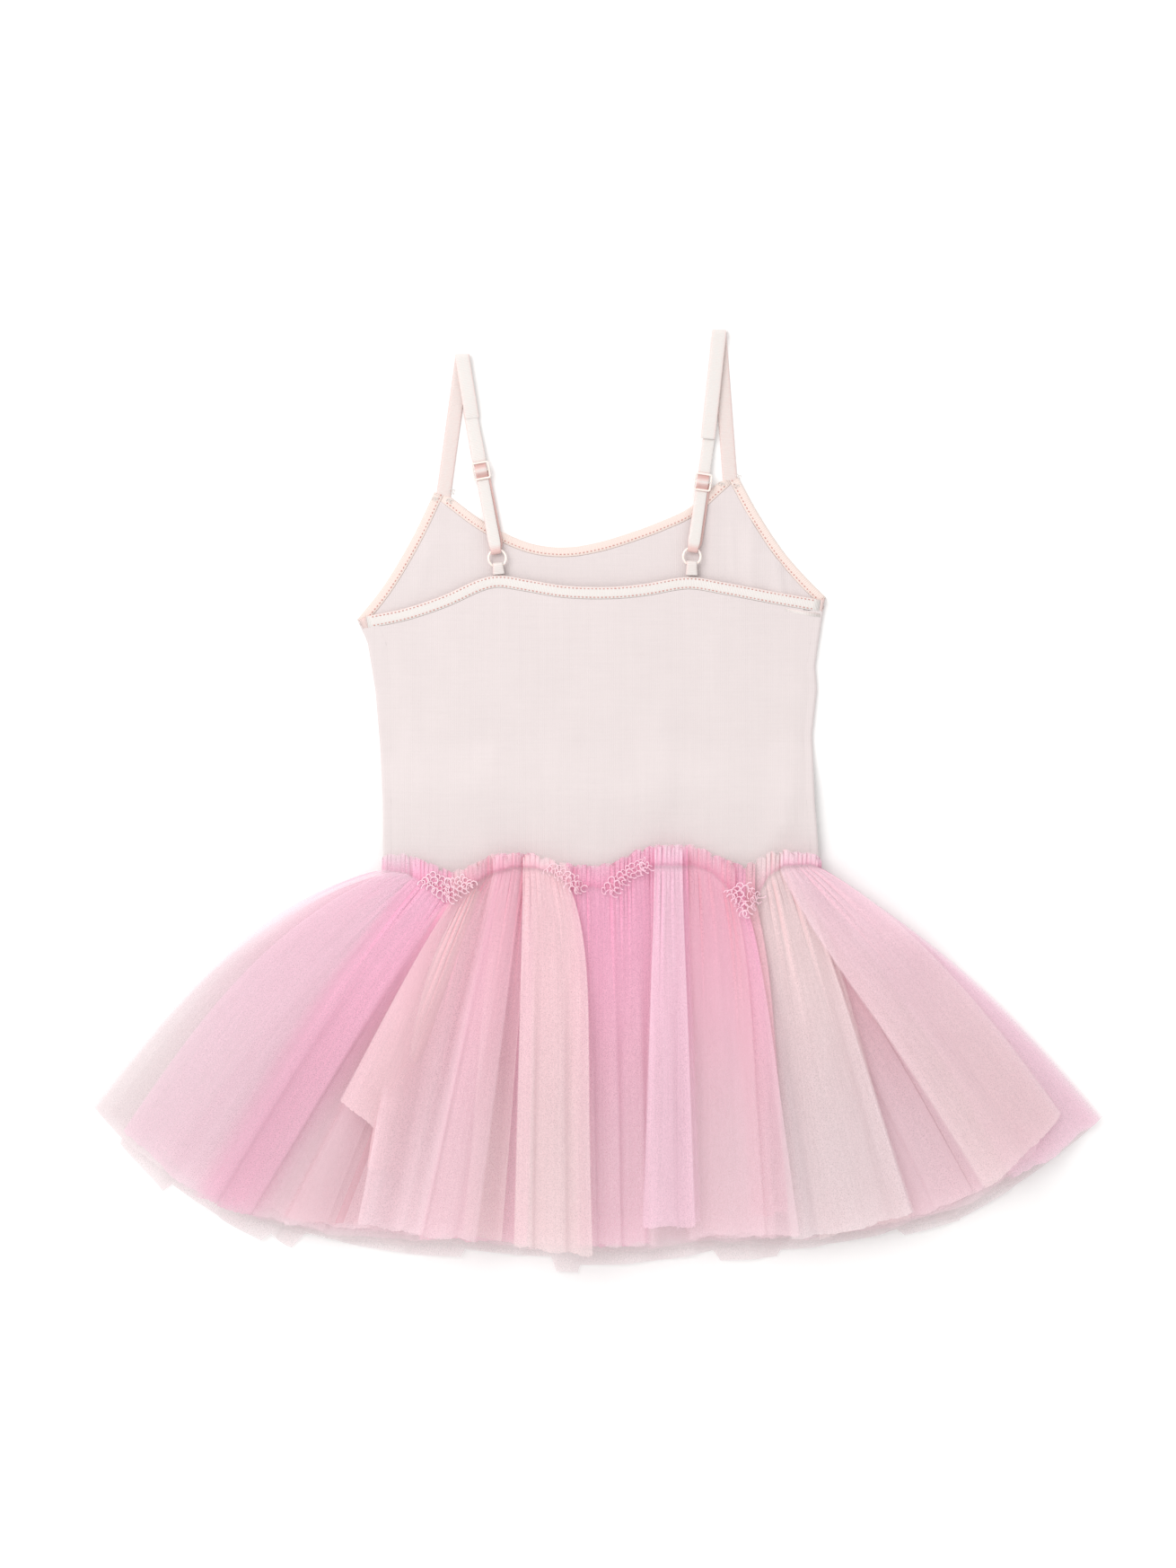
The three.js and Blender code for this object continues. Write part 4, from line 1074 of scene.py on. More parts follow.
def bulge(angle, along, down):
    """How far the sides of the skirt stand out beyond a straight line from waist to hem."""
    total = np.zeros(along.shape)
    for b in BULGES:
        swell = np.sin(math.pi * np.clip(down, 0, 1) ** b.power)
        height = b.height * smooth(b.inner, b.edge, angle) * swell
        sign = 1 if b.edge < b.inner else -1
        outward = np.stack([along[..., 1], -along[..., 0]], axis=-1) * sign
        total = total + outward * height[..., None]
    return total


def raised_share(panel, part):
    """From 0 to 1, how far a panel lies over its neighbours at a share of its width."""
    return lerp(*panel.over, smooth(*OVER_CHANGE, part))


def band_heights(panel, part, x, y, heading):
    """The lowest and highest that a piece's cloth lies at a place."""
    if isinstance(panel.over, str):
        if heading:
            low, high = HEADING_BANDS.get(panel.over, LAYERS[panel.over]["waist"])
            return np.full(x.shape, float(low)), np.full(x.shape, float(high))
        return layer_heights(LAYERS[panel.over], x, y)
    raised = raised_share(panel, part)
    if heading:
        lower, upper = HEADING_BANDS["lower"], HEADING_BANDS["upper"]
    else:
        lower, upper = layer_heights(LAYERS["lower"], x, y), layer_heights(LAYERS["upper"], x, y)
    return [lerp(lower[k], upper[k], raised) for k in (0, 1)]


def stepped_cut(angle):
    """The front layer's cut edge as a share of the way to the hem."""
    cut = np.ones(angle.shape)
    for start, end, r0, r1 in STEPPED_HEM:
        here = (angle >= start) & (angle <= end)
        radius = lerp(r0, r1, (angle - start) / (end - start))
        cut = np.where(here, 1 + (radius - read(HEM_RADIUS, angle)) / SKIRT_LENGTH, cut)
    return cut


def ply_cut(ply, cloth, angle, rng):
    """How far each column of a layer reaches, with rounded corners and a slightly ragged edge."""
    ragged = np.interp(cloth, np.linspace(0, 1, CUT_POINTS), rng.uniform(-1, 1, CUT_POINTS)) * CUT["ragged"]
    if ply.cut == "stepped":
        return stepped_cut(angle) + ragged * 0.3
    if ply.cut is NOTCH:
        return read(NOTCH, cloth) + ragged
    corner = CUT["corner"] * np.abs(2 * cloth - 1) ** 10
    wave = CUT["wave"] * np.sin(2 * math.pi * (cloth * ply.folds + 0.3))
    return lerp(ply.cut[0], ply.cut[1], cloth) - corner + ragged + wave


# Dips of the seam where the net's frayed ends curl: from x, to x and the shares of the heading's height
CURLED_DIPS = [
    (-101, -71, (0.02, 0.22, 0.42, 0.62)),
    (-30, -8, (0.05, 0.3, 0.55)),
    (3, 30, (0.02, 0.24, 0.46)),
    (74, 93, (-0.12, 0.08, 0.28, 0.48)),
]

# Rows of points in a layer of net: shares of the way up its heading, and of the way down to its hem
HEADING_ROWS = [1.0, 0.85, 0.68, 0.5, 0.3, 0.12]
SKIRT_ROWS = [
    0, 0.012, 0.03, 0.055, 0.09, 0.13, 0.175, 0.225, 0.28, 0.335, 0.395, 0.455, 0.52, 0.585, 0.65, 0.715, 0.78,
    0.84, 0.9, 0.95, 1.0,
]
COLUMNS_A_GATHER = 6
CUT_POINTS = 60
HEM_REACH = 350
HEADING_LENGTH = 12
# Gathers run down from the seam, by a share of the length that is more where they are strong
# dark is how much deeper the tint gets in their troughs: net lying double, and painted shade
GATHER = {"uneven": 0.92, "shortest": 0.08, "longer": 0.6, "frill": 1.3, "rise": 0.1, "dark": 1.2, "dense": 0.9}
# Folds open towards the hem
# dark is how much painted shade deepens the tint in the folds' hollows
FOLD = {"uneven": 0.6, "shallowest": 0.6, "opened": 0.75, "rise": 0.32, "raised": (0.02, 0.5), "dark": 0.14}
# Net is deeper in tint where it lies double in its gathers, and the same deepening paints shade in the gathers'
# troughs and the folds' hollows: a gain and a power of its colour
DOUBLED_AND_SHADED = (0.96, 1.9)
# The ruffled heading: how its top edge lies below the scallops, arches and frays, and how pale it gets
HEADING = {"below": 2.2, "arch": 3.0, "arch_width": 8, "ragged": 0.5, "rise": 0.4, "frill": (0.4, 1.4),
           "pale": (0.02, 0.12), "density": 1.3, "thinner": 0.5}
# The cut edge: shares of the length by which it is ragged, rounded at its corners and wavy
CUT = {"ragged": 0.003, "corner": 0.006, "wave": 0.004}
# Shares of the length over which sides start to fade, and change to their lower fade
FADE_START = (0.0, 0.15)
FADE_CHANGE = (0.55, 0.68)
TINT_CHANGE = (0.05, 0.85)
COVER_CHANGE = (0.0, 0.9)
PUFF_AT = 0.25
# Shadows on a heading: near its stitches, and from its upper to its lower dips
GAP_SHADOW = np.array([0.9, 0.6, 0.72])
UPPER_SHADOW = np.array([0.97, 0.93, 0.95])
DIP_SHADOW = np.array([0.93, 0.82, 0.86])
DIP_HEIGHTS = (-44, -58)


def stitch_line(panel, x):
    """The y of the seam that a panel hangs from."""
    if panel.over == "front":
        return np.full(np.shape(x), float(FRONT_STITCH))
    drop = 3 if panel.over == "under" else 0
    return read(SCALLOPS, x, 0, 1) - drop


Gathers = namedtuple("Gathers", "count cloth fine large vigour depth ragged arches")


def gathers_of(ply, pitch, rng):
    """The uneven gathers and folds across one layer of net, at each of its columns."""
    width = ply.waist[1] - ply.waist[0]
    count = max(4, round(width / pitch))
    cloth = np.linspace(0, 1, count * COLUMNS_A_GATHER + 1)
    fine = uneven_phase(cloth, count, GATHER["uneven"], rng)
    large = uneven_phase(cloth, ply.folds, FOLD["uneven"], rng)
    vigour = np.interp(fine, np.arange(count + 1), rng.random(count + 1))
    depths = rng.uniform(FOLD["shallowest"], 1.0, ply.folds + 1)
    depth = np.interp(large, np.arange(ply.folds + 1), depths)
    ragged = np.interp(cloth, np.linspace(0, 1, count * 3), rng.uniform(-1, 1, count * 3))
    arch_count = max(2, round(width / HEADING["arch_width"]))
    arches = np.abs(np.sin(math.pi * uneven_phase(cloth, arch_count, 0.8, rng))) ** 0.6
    waves = np.sin(2 * math.pi * fine), np.sin(2 * math.pi * large)
    return Gathers(count, cloth, *waves, vigour, depth, ragged, arches)


def share_of(panel, x):
    """The share of a panel's width at the waist."""
    return (x - panel.waist[0]) / (panel.waist[1] - panel.waist[0])


def slid(ply, g, fold, frill):
    """Each column's share of the layer's width, moved by its fold and its gather."""
    slide = fold * g.large / (2 * math.pi * ply.folds) + frill * g.fine / (2 * math.pi * g.count)
    return np.clip(g.cloth + np.sign(ply.lean) * slide, 0, 1)


def heights_between(panel, ply, part, x, y, heading, rise):
    """The heights of a row of points in the layer's share of its piece's height."""
    low, high = band_heights(panel, np.clip(part, 0, 1), x, y, heading)
    low, high = lerp(low, high, ply.depth[0]), lerp(low, high, ply.depth[1])
    return lerp(low, high, np.clip(rise, 0, 1))


def net_tint(tone, trough, hollow, vigour):
    """The tint of a row of net, deeper in its gathers, where net lies double and painted shade falls, and in
    its hollows, where the deepening is painted shade.
    """
    darker = GATHER["dark"] * trough * vigour**2 + FOLD["dark"] * hollow
    gain, power = DOUBLED_AND_SHADED
    return lerp(tone, gain * tone**power, np.clip(darker, 0, 1)[:, None])


def denser(trough, vigour):
    """How much denser net is where its gathers lie double."""
    return 1 + 0.2 * trough + GATHER["dense"] * trough * vigour**2


def trough_of(g, frill):
    """From 0 to 1, how deep between gathers each column lies."""
    return np.clip(0.5 - 0.5 * g.fine, 0, 1) * np.clip(frill / GATHER["frill"], 0, 1)


def heading_row(panel, ply, g, v, tint):
    """One row of a ruffled heading, a share of the way up: its points, tints, densities and UVs."""
    frill = lerp(*HEADING["frill"], v)
    x = lerp(ply.waist[0], ply.waist[1], slid(ply, g, 0.0, frill))
    seam = stitch_line(panel, x)
    broad = isinstance(panel.over, str)
    top = FRONT_STITCH + FRONT_HEADING - 2 if broad else read(SCALLOPS, x, 0, 2)
    y = lerp(seam, top - HEADING["below"] + HEADING["arch"] * g.arches + HEADING["ragged"] * g.ragged, v)
    rise = 0.5 + HEADING["rise"] * g.fine * v * g.vigour + 0.1 * g.ragged
    z = heights_between(panel, ply, share_of(panel, x), x, y, True, rise)
    trough = trough_of(g, frill)
    near_seam = smooth(0.8, 0.0, v) * (0.75 - 0.25 * g.fine * g.vigour)
    shadow = lerp(np.ones(3), GAP_SHADOW, near_seam[:, None])
    shadow = shadow * lerp(UPPER_SHADOW, DIP_SHADOW, smooth(*DIP_HEIGHTS, seam)[:, None])
    low, high = HEADING["pale"]
    # The tint, with painted shadow near the seam and in the dips, paler towards the top
    coloured = lerp(net_tint(tint, trough, 0.0, g.vigour), np.ones(3), low + high * v) * shadow
    density = HEADING["density"] * ply.cover[0] * (1 - HEADING["thinner"] * v**3) * denser(trough, g.vigour)
    return np.stack([x, y, z], axis=-1), coloured, density, -v * HEADING_LENGTH


def faded_sides(ply, cloth, v):
    """The share of its density that a row of net keeps towards the layer's side edges."""
    soft = lerp(np.array(ply.soft[:2]), np.array(ply.soft[-2:]), smooth(*FADE_CHANGE, v))
    beside = np.minimum(cloth / max(soft[0], 1e-6), (1 - cloth) / max(soft[1], 1e-6))
    return lerp(1.0, np.clip(beside, 0.0, 1.0), smooth(*FADE_START, v))


def skirt_row(panel, ply, g, v, waist_tint, hem_tint, cut):
    """One row of the skirt, a share of the way down: its points, tints, densities and UVs."""
    opened = smooth(0.0, FOLD["opened"], v) * g.depth
    gone = smooth(0, 1, v / (GATHER["shortest"] + GATHER["longer"] * g.vigour**3))
    frill = lerp(GATHER["frill"], 0.0, gone) * smooth(-0.03, 0.04, v)
    place = slid(ply, g, abs(ply.lean) * opened, frill)
    waist_x = lerp(ply.waist[0], ply.waist[1], place)
    waist = np.stack([waist_x, stitch_line(panel, waist_x)], axis=-1)
    angle = lerp(ply.hem[0], ply.hem[1], place)
    hem = hem_point(angle)
    along = hem - waist
    along /= np.linalg.norm(along, axis=1, keepdims=True)
    down = v * cut
    points = lerp(waist, hem, down[:, None]) + bulge(angle, along, down)
    swell = (down / PUFF_AT) * np.exp(1 - down / PUFF_AT)
    puff = (ply.puff[1] * place - ply.puff[0] * (1 - place)) * swell
    points = points + np.stack([-along[:, 1], along[:, 0]], axis=-1) * puff[:, None]
    x, y = points[:, 0], points[:, 1]
    part_hem = (angle - panel.hem[0]) / (panel.hem[1] - panel.hem[0])
    part = lerp(share_of(panel, waist_x), part_hem, np.clip(down, 0, 1))
    folded = FOLD["rise"] * smooth(*FOLD["raised"], v) * g.depth * g.large
    rise = 0.5 + folded + GATHER["rise"] * (frill / GATHER["frill"]) * g.fine
    z = heights_between(panel, ply, part, x, y, False, rise)
    trough = trough_of(g, frill)
    hollow = np.clip(0.5 - 0.5 * g.large, 0, 1) * opened
    tone = lerp(waist_tint, hem_tint, smooth(*TINT_CHANGE, v))
    # The tint, with painted shade in the gathers' troughs and the folds' hollows
    coloured = net_tint(tone, trough, hollow, g.vigour)
    density = lerp(*ply.cover, smooth(*COVER_CHANGE, v)) * faded_sides(ply, g.cloth, v)
    density = density * denser(trough, g.vigour)
    return np.stack([x, y, z], axis=-1), coloured, density, v * SKIRT_LENGTH


def ply_surface(panel, ply, look, seed):
    """The points of one layer of net, with UVs, tints and densities."""
    pitch = look.gather / MM * (2.0 if isinstance(panel.over, str) else 1.0)
    g = gathers_of(ply, pitch, np.random.default_rng(seed))
    waist_tint, hem_tint = (np.array(getattr(look, name)) for name in ply.tint.split())
    angles = lerp(ply.hem[0], ply.hem[1], g.cloth)
    cut = ply_cut(ply, g.cloth, angles, np.random.default_rng(seed + 50))
    rows = [heading_row(panel, ply, g, v, waist_tint) for v in HEADING_ROWS] if ply.heading else []
    rows += [skirt_row(panel, ply, g, v, waist_tint, hem_tint, cut) for v in SKIRT_ROWS]
    points, tints, densities, far = (np.array(column) for column in zip(*rows))
    across = g.cloth * math.radians(ply.hem[1] - ply.hem[0]) * HEM_REACH * (1 + abs(ply.lean))
    uvs = np.stack(np.broadcast_arrays(across[None, :], far[:, None]), axis=-1) * MM
    return points, uvs, tints, densities[..., None]


def line_length(points):
    return float(np.linalg.norm(np.diff(points, axis=0), axis=1).sum())


def tulle_piece(panel, look, seed):
    """One CAD piece of the skirt: its layers of net in one object, and the width, length and area of their cut.

    Most layers are cut wider at the hem than at the stitch line.
    """
    layers = [ply_surface(panel, ply, look, seed + 13 * k) for k, ply in enumerate(PLIES[panel.name])]
    faces, start = [], 0
    hem_width = top_width = cut_length = 0.0
    for ply, (grid, *_) in zip(PLIES[panel.name], layers):
        rows, columns = grid.shape[:2]
        faces.append(grid_faces(rows, columns) + start)
        start += rows * columns
        hem_width += line_length(grid[-1])
        top_width += line_length(grid[len(HEADING_ROWS) if ply.heading else 0])
        cut_length = max(cut_length, line_length(grid[:, columns // 2]))
    points, uvs, tints, densities = (
        np.concatenate([part.reshape(-1, part.shape[-1]) for part in parts]) for parts in zip(*layers)
    )
    name = panel.name + "_cloth"
    obj = new_object(name, points, np.concatenate(faces), uvs, tints, densities.ravel())
    area = (hem_width + top_width) / 2 * cut_length
    return obj, (max(hem_width, top_width) * MM, cut_length * MM), area * MM * MM


# Straps and their hardware
def unit(v):
    return np.asarray(v, float) / np.linalg.norm(v)


def level(start, end):
    """The direction across a line, so that a tape along it lies level."""
    along = unit(np.subtract(end, start))
    return np.array([along[1], -along[0], 0.0])


def ribbon(name, points, across, width, back_and_shade, steps):
    """Elastic through points. across is its direction; width and back_and_shade are one value, or one a point.
    """
    count = len(points)
    table = [points, across, np.broadcast_to(width, count), np.broadcast_to(back_and_shade, count)]
    line = smooth_line(np.column_stack(table), steps)
    at, side = line[:, :3], line[:, 3:6]
    side = side / np.linalg.norm(side, axis=1, keepdims=True) * line[:, 6:7] / 2
    return tape(name, at - side, at + side, ELASTIC, np.clip(line[:, 7], 0, 1))


def strap_points(strap):
    """Up from the front panel, over at the top and down the back."""
    base, top, joint = (np.array(p, float) for p in (strap.base, strap.top, strap.joint))
    low, high = STRAP_Z["front"], STRAP_Z["back"]
    r = (high - low) / 2
    rising, falling = level(base, top), level(joint, top)
    under = top - [0, r]
    rows, sides = [], []
    for t in (-0.045, 0.12, 0.25, 0.5, 0.75, 0.9, 1):
        rows.append([*lerp(base, under, t), low])
        sides.append(rising)
    for degrees in (30, 60, 90, 120, 150):
        a = math.radians(degrees)
        rows.append([top[0], top[1] - r + r * math.sin(a), low + r * (1 - math.cos(a))])
        sides.append(unit(lerp(rising, falling, degrees / 180)))
    pressed = LEFT_STRAP_PRESSED if strap.side == "left" else 0.0
    for t in (0, 0.12, 0.33, 0.66, 0.9, 1):
        rows.append([*lerp(under, joint, t), high - pressed * smooth(0.8, 1.0, t)])
        sides.append(falling)
    return np.array(rows), np.array(sides)


WIRE_TURN = RING["wire"] + LOOP_GAP + ELASTIC / 2
WIRE_CENTRE = RING["turn_in"] + ELASTIC / 2 + WIRE_TURN + LOOP_GAP
LEG_START = RING["radius"] + 2


def round_wire(centre, towards):
    """Places along and up of a turn of elastic round the ring's wire."""
    turn = [(math.sin(a), math.cos(a)) for a in np.radians(range(0, 181, 30))]
    return [(centre + towards * WIRE_TURN * far, RING["height"] + WIRE_TURN * up) for far, up in turn]


def adjuster_points(strap, full_width):
    """From under the strap's end through the slider, round the ring and back up behind itself.

    Returns the points, the direction across, and each point's width and share of the darker back's colour,
    which inside the slider is painted shade under its frame.
    """
    start, ring, joint = (np.array(p, float) for p in (strap.slider, strap.ring, strap.joint))
    down = unit(ring - start)
    start = start - down * SLIDER["length"] / 2
    to_ring = np.linalg.norm(ring - start)
    to_joint = np.linalg.norm(joint - start) + TUCKED_IN
    middle = SLIDER["length"] / 2
    half = SLIDER["bar"] / 2 + SLIDER["lead"] / 2
    upper, lower = RING["height"] + WIRE_TURN, RING["height"] - WIRE_TURN
    edge = SLIDER["bar"] + SLIDER["lead"]
    under, over, returned = STRAP_Z["under"], STRAP_Z["over"], STRAP_Z["returned"]
    halfway = lerp(SLIDER["length"], to_ring, 0.5)
    top_width = LEFT_ADJUSTER_TOP if strap.side == "left" else full_width
    turn = [(far, z, RING["elastic"], 0.9, 0) for far, z in round_wire(to_ring - WIRE_CENTRE, 1)]
    behind, loose = STRAP_Z["adjuster"], lerp(under, upper, 0.5)
    rows = [
        (-to_joint, behind, top_width, 0, 0),
        (-to_joint + 8, behind, top_width, 0, 0),
        (-1.5, under, top_width, 0, 0),
        # Inside the slider the darker back colour is painted shade under the frame's bars: less of it next to
        # the middle bar, and none on the bar
        (edge, under, full_width, 1, 0),
        (middle - half, over, full_width, 0.6, 0),
        (middle, over, full_width, 0, 0),
        (middle + half, over, full_width, 0.6, 0),
        (SLIDER["length"] - edge, under, full_width, 1, 0),
        (SLIDER["length"] + 1.2, under, full_width, 0, 0),
        (halfway, loose, full_width, 0, 0),
        (to_ring - LEG_START - 1, upper, full_width, 0, 0),
        *turn,
        (to_ring - LEG_START, lower, full_width, 1, 0.9),
        (halfway, lerp(returned, lower, 0.5), full_width, 1, 1.3),
        (middle, returned, full_width, 1, 1.1),
    ]
    side = level(strap.ring, strap.slider)
    rightward = side * np.sign(side[0])
    points = [[*(start + down * far), z] + rightward * shift for far, z, _, _, shift in rows]
    return np.array(points), side, [row[2] for row in rows], [row[3] for row in rows]


def tab_points(strap):
    """A short loop through the ring, sewn to the back band above and below."""
    ring, end = np.array(strap.ring, float), np.array(strap.tab_end, float)
    down = unit(end - ring)
    far = np.linalg.norm(end - ring)
    sewn = float(back_height(end[0], end[1]))
    gap = (ELASTIC + SEAM) / 2
    rows = [(far, sewn + gap), *round_wire(WIRE_CENTRE, -1), (far, sewn - gap)]
    return np.array([[*(ring + down * f), z] for f, z in rows]), level(strap.tab_end, strap.ring)


def rounded_loop(width, height, corner, steps=6):
    """The centre line of a rounded rectangle, counter-clockwise."""
    half = np.array([width / 2 - corner, height / 2 - corner])
    points = []
    for right, up, start in ((1, 1, 0), (-1, 1, 90), (-1, -1, 180), (1, -1, 270)):
        for a in np.radians(np.linspace(start, start + 90, steps + 1)):
            points.append(half * (right, up) + corner * np.array([np.cos(a), np.sin(a)]))
    return np.array(points)


def slider_object(strap):
    """A rounded frame with a bar across its middle."""
    bar, high = SLIDER["bar"], SLIDER["height"]
    across = level(strap.ring, strap.slider)[:2]
    along = np.array([-across[1], across[0]])
    z = SLIDER["bottom"] + high / 2

    def put(points):
        flat = np.asarray(points, float)
        xy = np.array(strap.slider) + flat[:, :1] * across + flat[:, 1:] * along
        return np.column_stack([xy, np.full(len(xy), z)])

    loop = rounded_loop(SLIDER["width"] - bar, SLIDER["length"] - bar, SLIDER["corner"] - bar / 2)
    outline = wire("slider_frame", put(loop), bar, high)
    ends = np.linspace(-1, 1, 9) * (SLIDER["width"] / 2 - bar * 0.6)
    sides = [put(np.column_stack([ends, np.full(len(ends), at)])) for at in (-bar / 2, bar / 2)]
    return joined(f"slider_{strap.side}_frame", [outline, tape("slider_bar", *sides, high)])


def ring_object(strap):
    """A round ring of wire."""
    angles = np.linspace(0, 2 * math.pi, 56, endpoint=False)
    circle = np.column_stack([
        strap.ring[0] + RING["radius"] * np.cos(angles),
        strap.ring[1] + RING["radius"] * np.sin(angles),
        np.full(56, RING["height"]),
    ])
    return wire(f"ring_{strap.side}_loop", circle, 2 * RING["wire"], 2 * RING["wire"])


# Rows of stitches and frayed curls, by geometry nodes
ROW_INPUTS = {"Spacing": "Float", "Size": "Float", "Thread": "Float", "Seed": "Int", "Material": "Material"}


def random_vector(nodes, low, high, seed):
    node = nodes.add("FunctionNodeRandomValue", {"data_type": "FLOAT_VECTOR"}, {0: low, 1: high, "Seed": seed})
    return node.outputs[0]


def stitch_piece(nodes, given):
    """A bead for one stitch, and its scale."""
    bead = nodes.add("GeometryNodeMeshUVSphere", None, {"Segments": 6, "Rings": 4, "Radius": 0.5})
    size = nodes.add("ShaderNodeCombineXYZ", None, {0: given["Size"], 1: given["Thread"], 2: given["Thread"]})
    uneven = random_vector(nodes, (0.8, 0.85, 0.85), (1.1, 1.15, 1.15), given["Seed"])
    return bead.outputs[0], nodes.spread(size.outputs[0], uneven)


def curl_piece(nodes, given):
    """An open curl of frayed net, and its scale."""
    sockets = {"Resolution": 9, "Radius": given["Size"], "Sweep Angle": 4.8}
    arc = nodes.add("GeometryNodeCurveArc", {"mode": "RADIUS"}, sockets)
    profile = nodes.add("GeometryNodeCurvePrimitiveCircle", None, {"Resolution": 4, "Radius": given["Thread"]})
    sockets = {0: arc.outputs[0], 1: profile.outputs[0], "Fill Caps": True}
    strand = nodes.add("GeometryNodeCurveToMesh", None, sockets)
    return strand.outputs[0], random_vector(nodes, (0.5, 0.8, 0.4), (1.1, 1.5, 0.8), given["Seed"])


def row_tree(name, piece_of, *turns):
    """A geometry tree that lays pieces along lines, each turned between two turns, and its named inputs."""
    tree = bpy.data.node_groups.new(name, "GeometryNodeTree")
    for way in ("INPUT", "OUTPUT"):
        tree.interface.new_socket("Geometry", in_out=way, socket_type="NodeSocketGeometry")
    sockets = {}
    for label, kind in ROW_INPUTS.items():
        socket = tree.interface.new_socket(label, in_out="INPUT", socket_type="NodeSocket" + kind)
        sockets[label] = socket.identifier
    nodes = Nodes(tree)
    given = nodes.add("NodeGroupInput").outputs
    line = nodes.add("GeometryNodeMeshToCurve", None, {0: given["Geometry"]})
    spacing = {0: line.outputs[0], "Length": given["Spacing"]}
    spaced = nodes.add("GeometryNodeResampleCurve", {"mode": "LENGTH"}, spacing)
    tangent = nodes.add("GeometryNodeInputTangent")
    facing = nodes.add("FunctionNodeAlignRotationToVector", {"axis": "X"}, {"Vector": tangent.outputs[0]})
    piece, scale = piece_of(nodes, given)
    turn = {0: facing.outputs[0], 1: random_vector(nodes, *turns, given["Seed"])}
    turned = nodes.add("FunctionNodeRotateRotation", {"rotation_space": "LOCAL"}, turn)
    laid = {"Points": spaced.outputs[0], "Instance": piece, "Rotation": turned.outputs[0], "Scale": scale}
    row = nodes.add("GeometryNodeInstanceOnPoints", None, laid)
    realized = nodes.add("GeometryNodeRealizeInstances", None, {0: row.outputs[0]})
    coloured = {0: realized.outputs[0], "Material": given["Material"]}
    dressed = nodes.add("GeometryNodeSetMaterial", None, coloured)
    nodes.add("NodeGroupOutput", None, {0: dressed.outputs[0]})
    return tree, sockets


def made_row(name, lines, tree_and_sockets, values):
    """A plain mesh of what a tree puts along lines of points, given in millimetres."""
    points, edges = [], []
    for line in lines:
        edges += [(len(points) + k, len(points) + k + 1) for k in range(len(line) - 1)]
        points += (np.asarray(line, float) * MM).tolist()
    guide_mesh = bpy.data.meshes.new(name + "_line")
    guide_mesh.from_pydata(points, edges, [])
    guide = bpy.data.objects.new(name + "_line", guide_mesh)
    bpy.context.scene.collection.objects.link(guide)
    tree, sockets = tree_and_sockets
    modifier = guide.modifiers.new("row", "NODES")
    modifier.node_group = tree
    for label, value in values.items():
        modifier[sockets[label]] = value
    evaluated = guide.evaluated_get(bpy.context.evaluated_depsgraph_get())
    mesh = bpy.data.meshes.new_from_object(evaluated)
    guide.modifiers.remove(modifier)
    bpy.data.objects.remove(guide)
    mesh.name = name
    if not mesh.polygons:
        raise RuntimeError(f"{name} has no faces")
    return placed(name, mesh)


def at_height(line, height):
    """A flat line of points, lifted to a height."""
    return np.column_stack([line, np.broadcast_to(height, len(line))])


def loose_loop_lines():
    """Short lines beside the base of each strap, for the loops of loose thread."""
    lines = []
    for strap in STRAPS:
        for dx, dy in LOOSE_LOOPS:
            ends = np.array(strap.base) + np.array([(dx - 0.8, dy), (dx + 0.8, dy - 0.6)])
            lines.append(at_height(ends, BINDING + LOOSE_LOOP_RISE))
    return lines


def raised_at(x):
    """How much higher the headings stand where a panel lies over its neighbour."""
    lifted = np.zeros(np.shape(x))
    for panel in PANELS[2:]:
        part = share_of(panel, x)
        here = (part >= 0) & (part <= 1)
        lifted = np.where(here, np.maximum(lifted, raised_share(panel, part)), lifted)
    return lifted * (HEADING_BANDS["upper"][1] - HEADING_BANDS["lower"][1])


def curl_lines():
    """Lines across each dip of the seam, for the curls of frayed net."""
    lines = []
    for start, end, shares in CURLED_DIPS:
        for k, share in enumerate(shares):
            x = np.linspace(start + CURL_INSET * k, end - CURL_INSET * k, 40)
            y = lerp(read(SCALLOPS, x, 0, 1), read(SCALLOPS, x, 0, 2), share)
            lines.append(np.column_stack([x, y, CURL_HEIGHT + raised_at(x)]))
    return lines


def dye_like_panels(obj, look):
    """Gives each point of a piece the waist tint of the panel that it lies on."""
    rows = []
    for panel in PANELS[2:]:
        waist_tint = PLIES[panel.name][0].tint.split()[0]
        rows.append((sum(panel.waist) / 2, *getattr(look, waist_tint)))
    points = np.empty(len(obj.data.vertices) * 3)
    obj.data.vertices.foreach_get("co", points)
    x = points[::3] / MM
    set_tint(obj.data, np.column_stack([read(rows, x, 0, k) for k in (1, 2, 3)]))


# Operators
class DRESS_OT_jersey(bpy.types.Operator):
    """Makes the jersey panels of the bodice"""

    bl_idname = "dress.jersey"
    bl_label = "Jersey panels"

    def execute(self, context):
        look = context.scene.dress_bodice
        finish = finish_of("fine_jersey", jersey_look, tuple(look.jersey), look.wale)
        front = cloth_wall("front_panel_cloth", front_grid(), JERSEY)
        dress_up(front, finish, "jersey", "front_panel")
        back = cloth_wall("back_panel_cloth", back_grid(), JERSEY)
        dress_up(back, finish, "jersey", "back_panel")
        return {"FINISHED"}


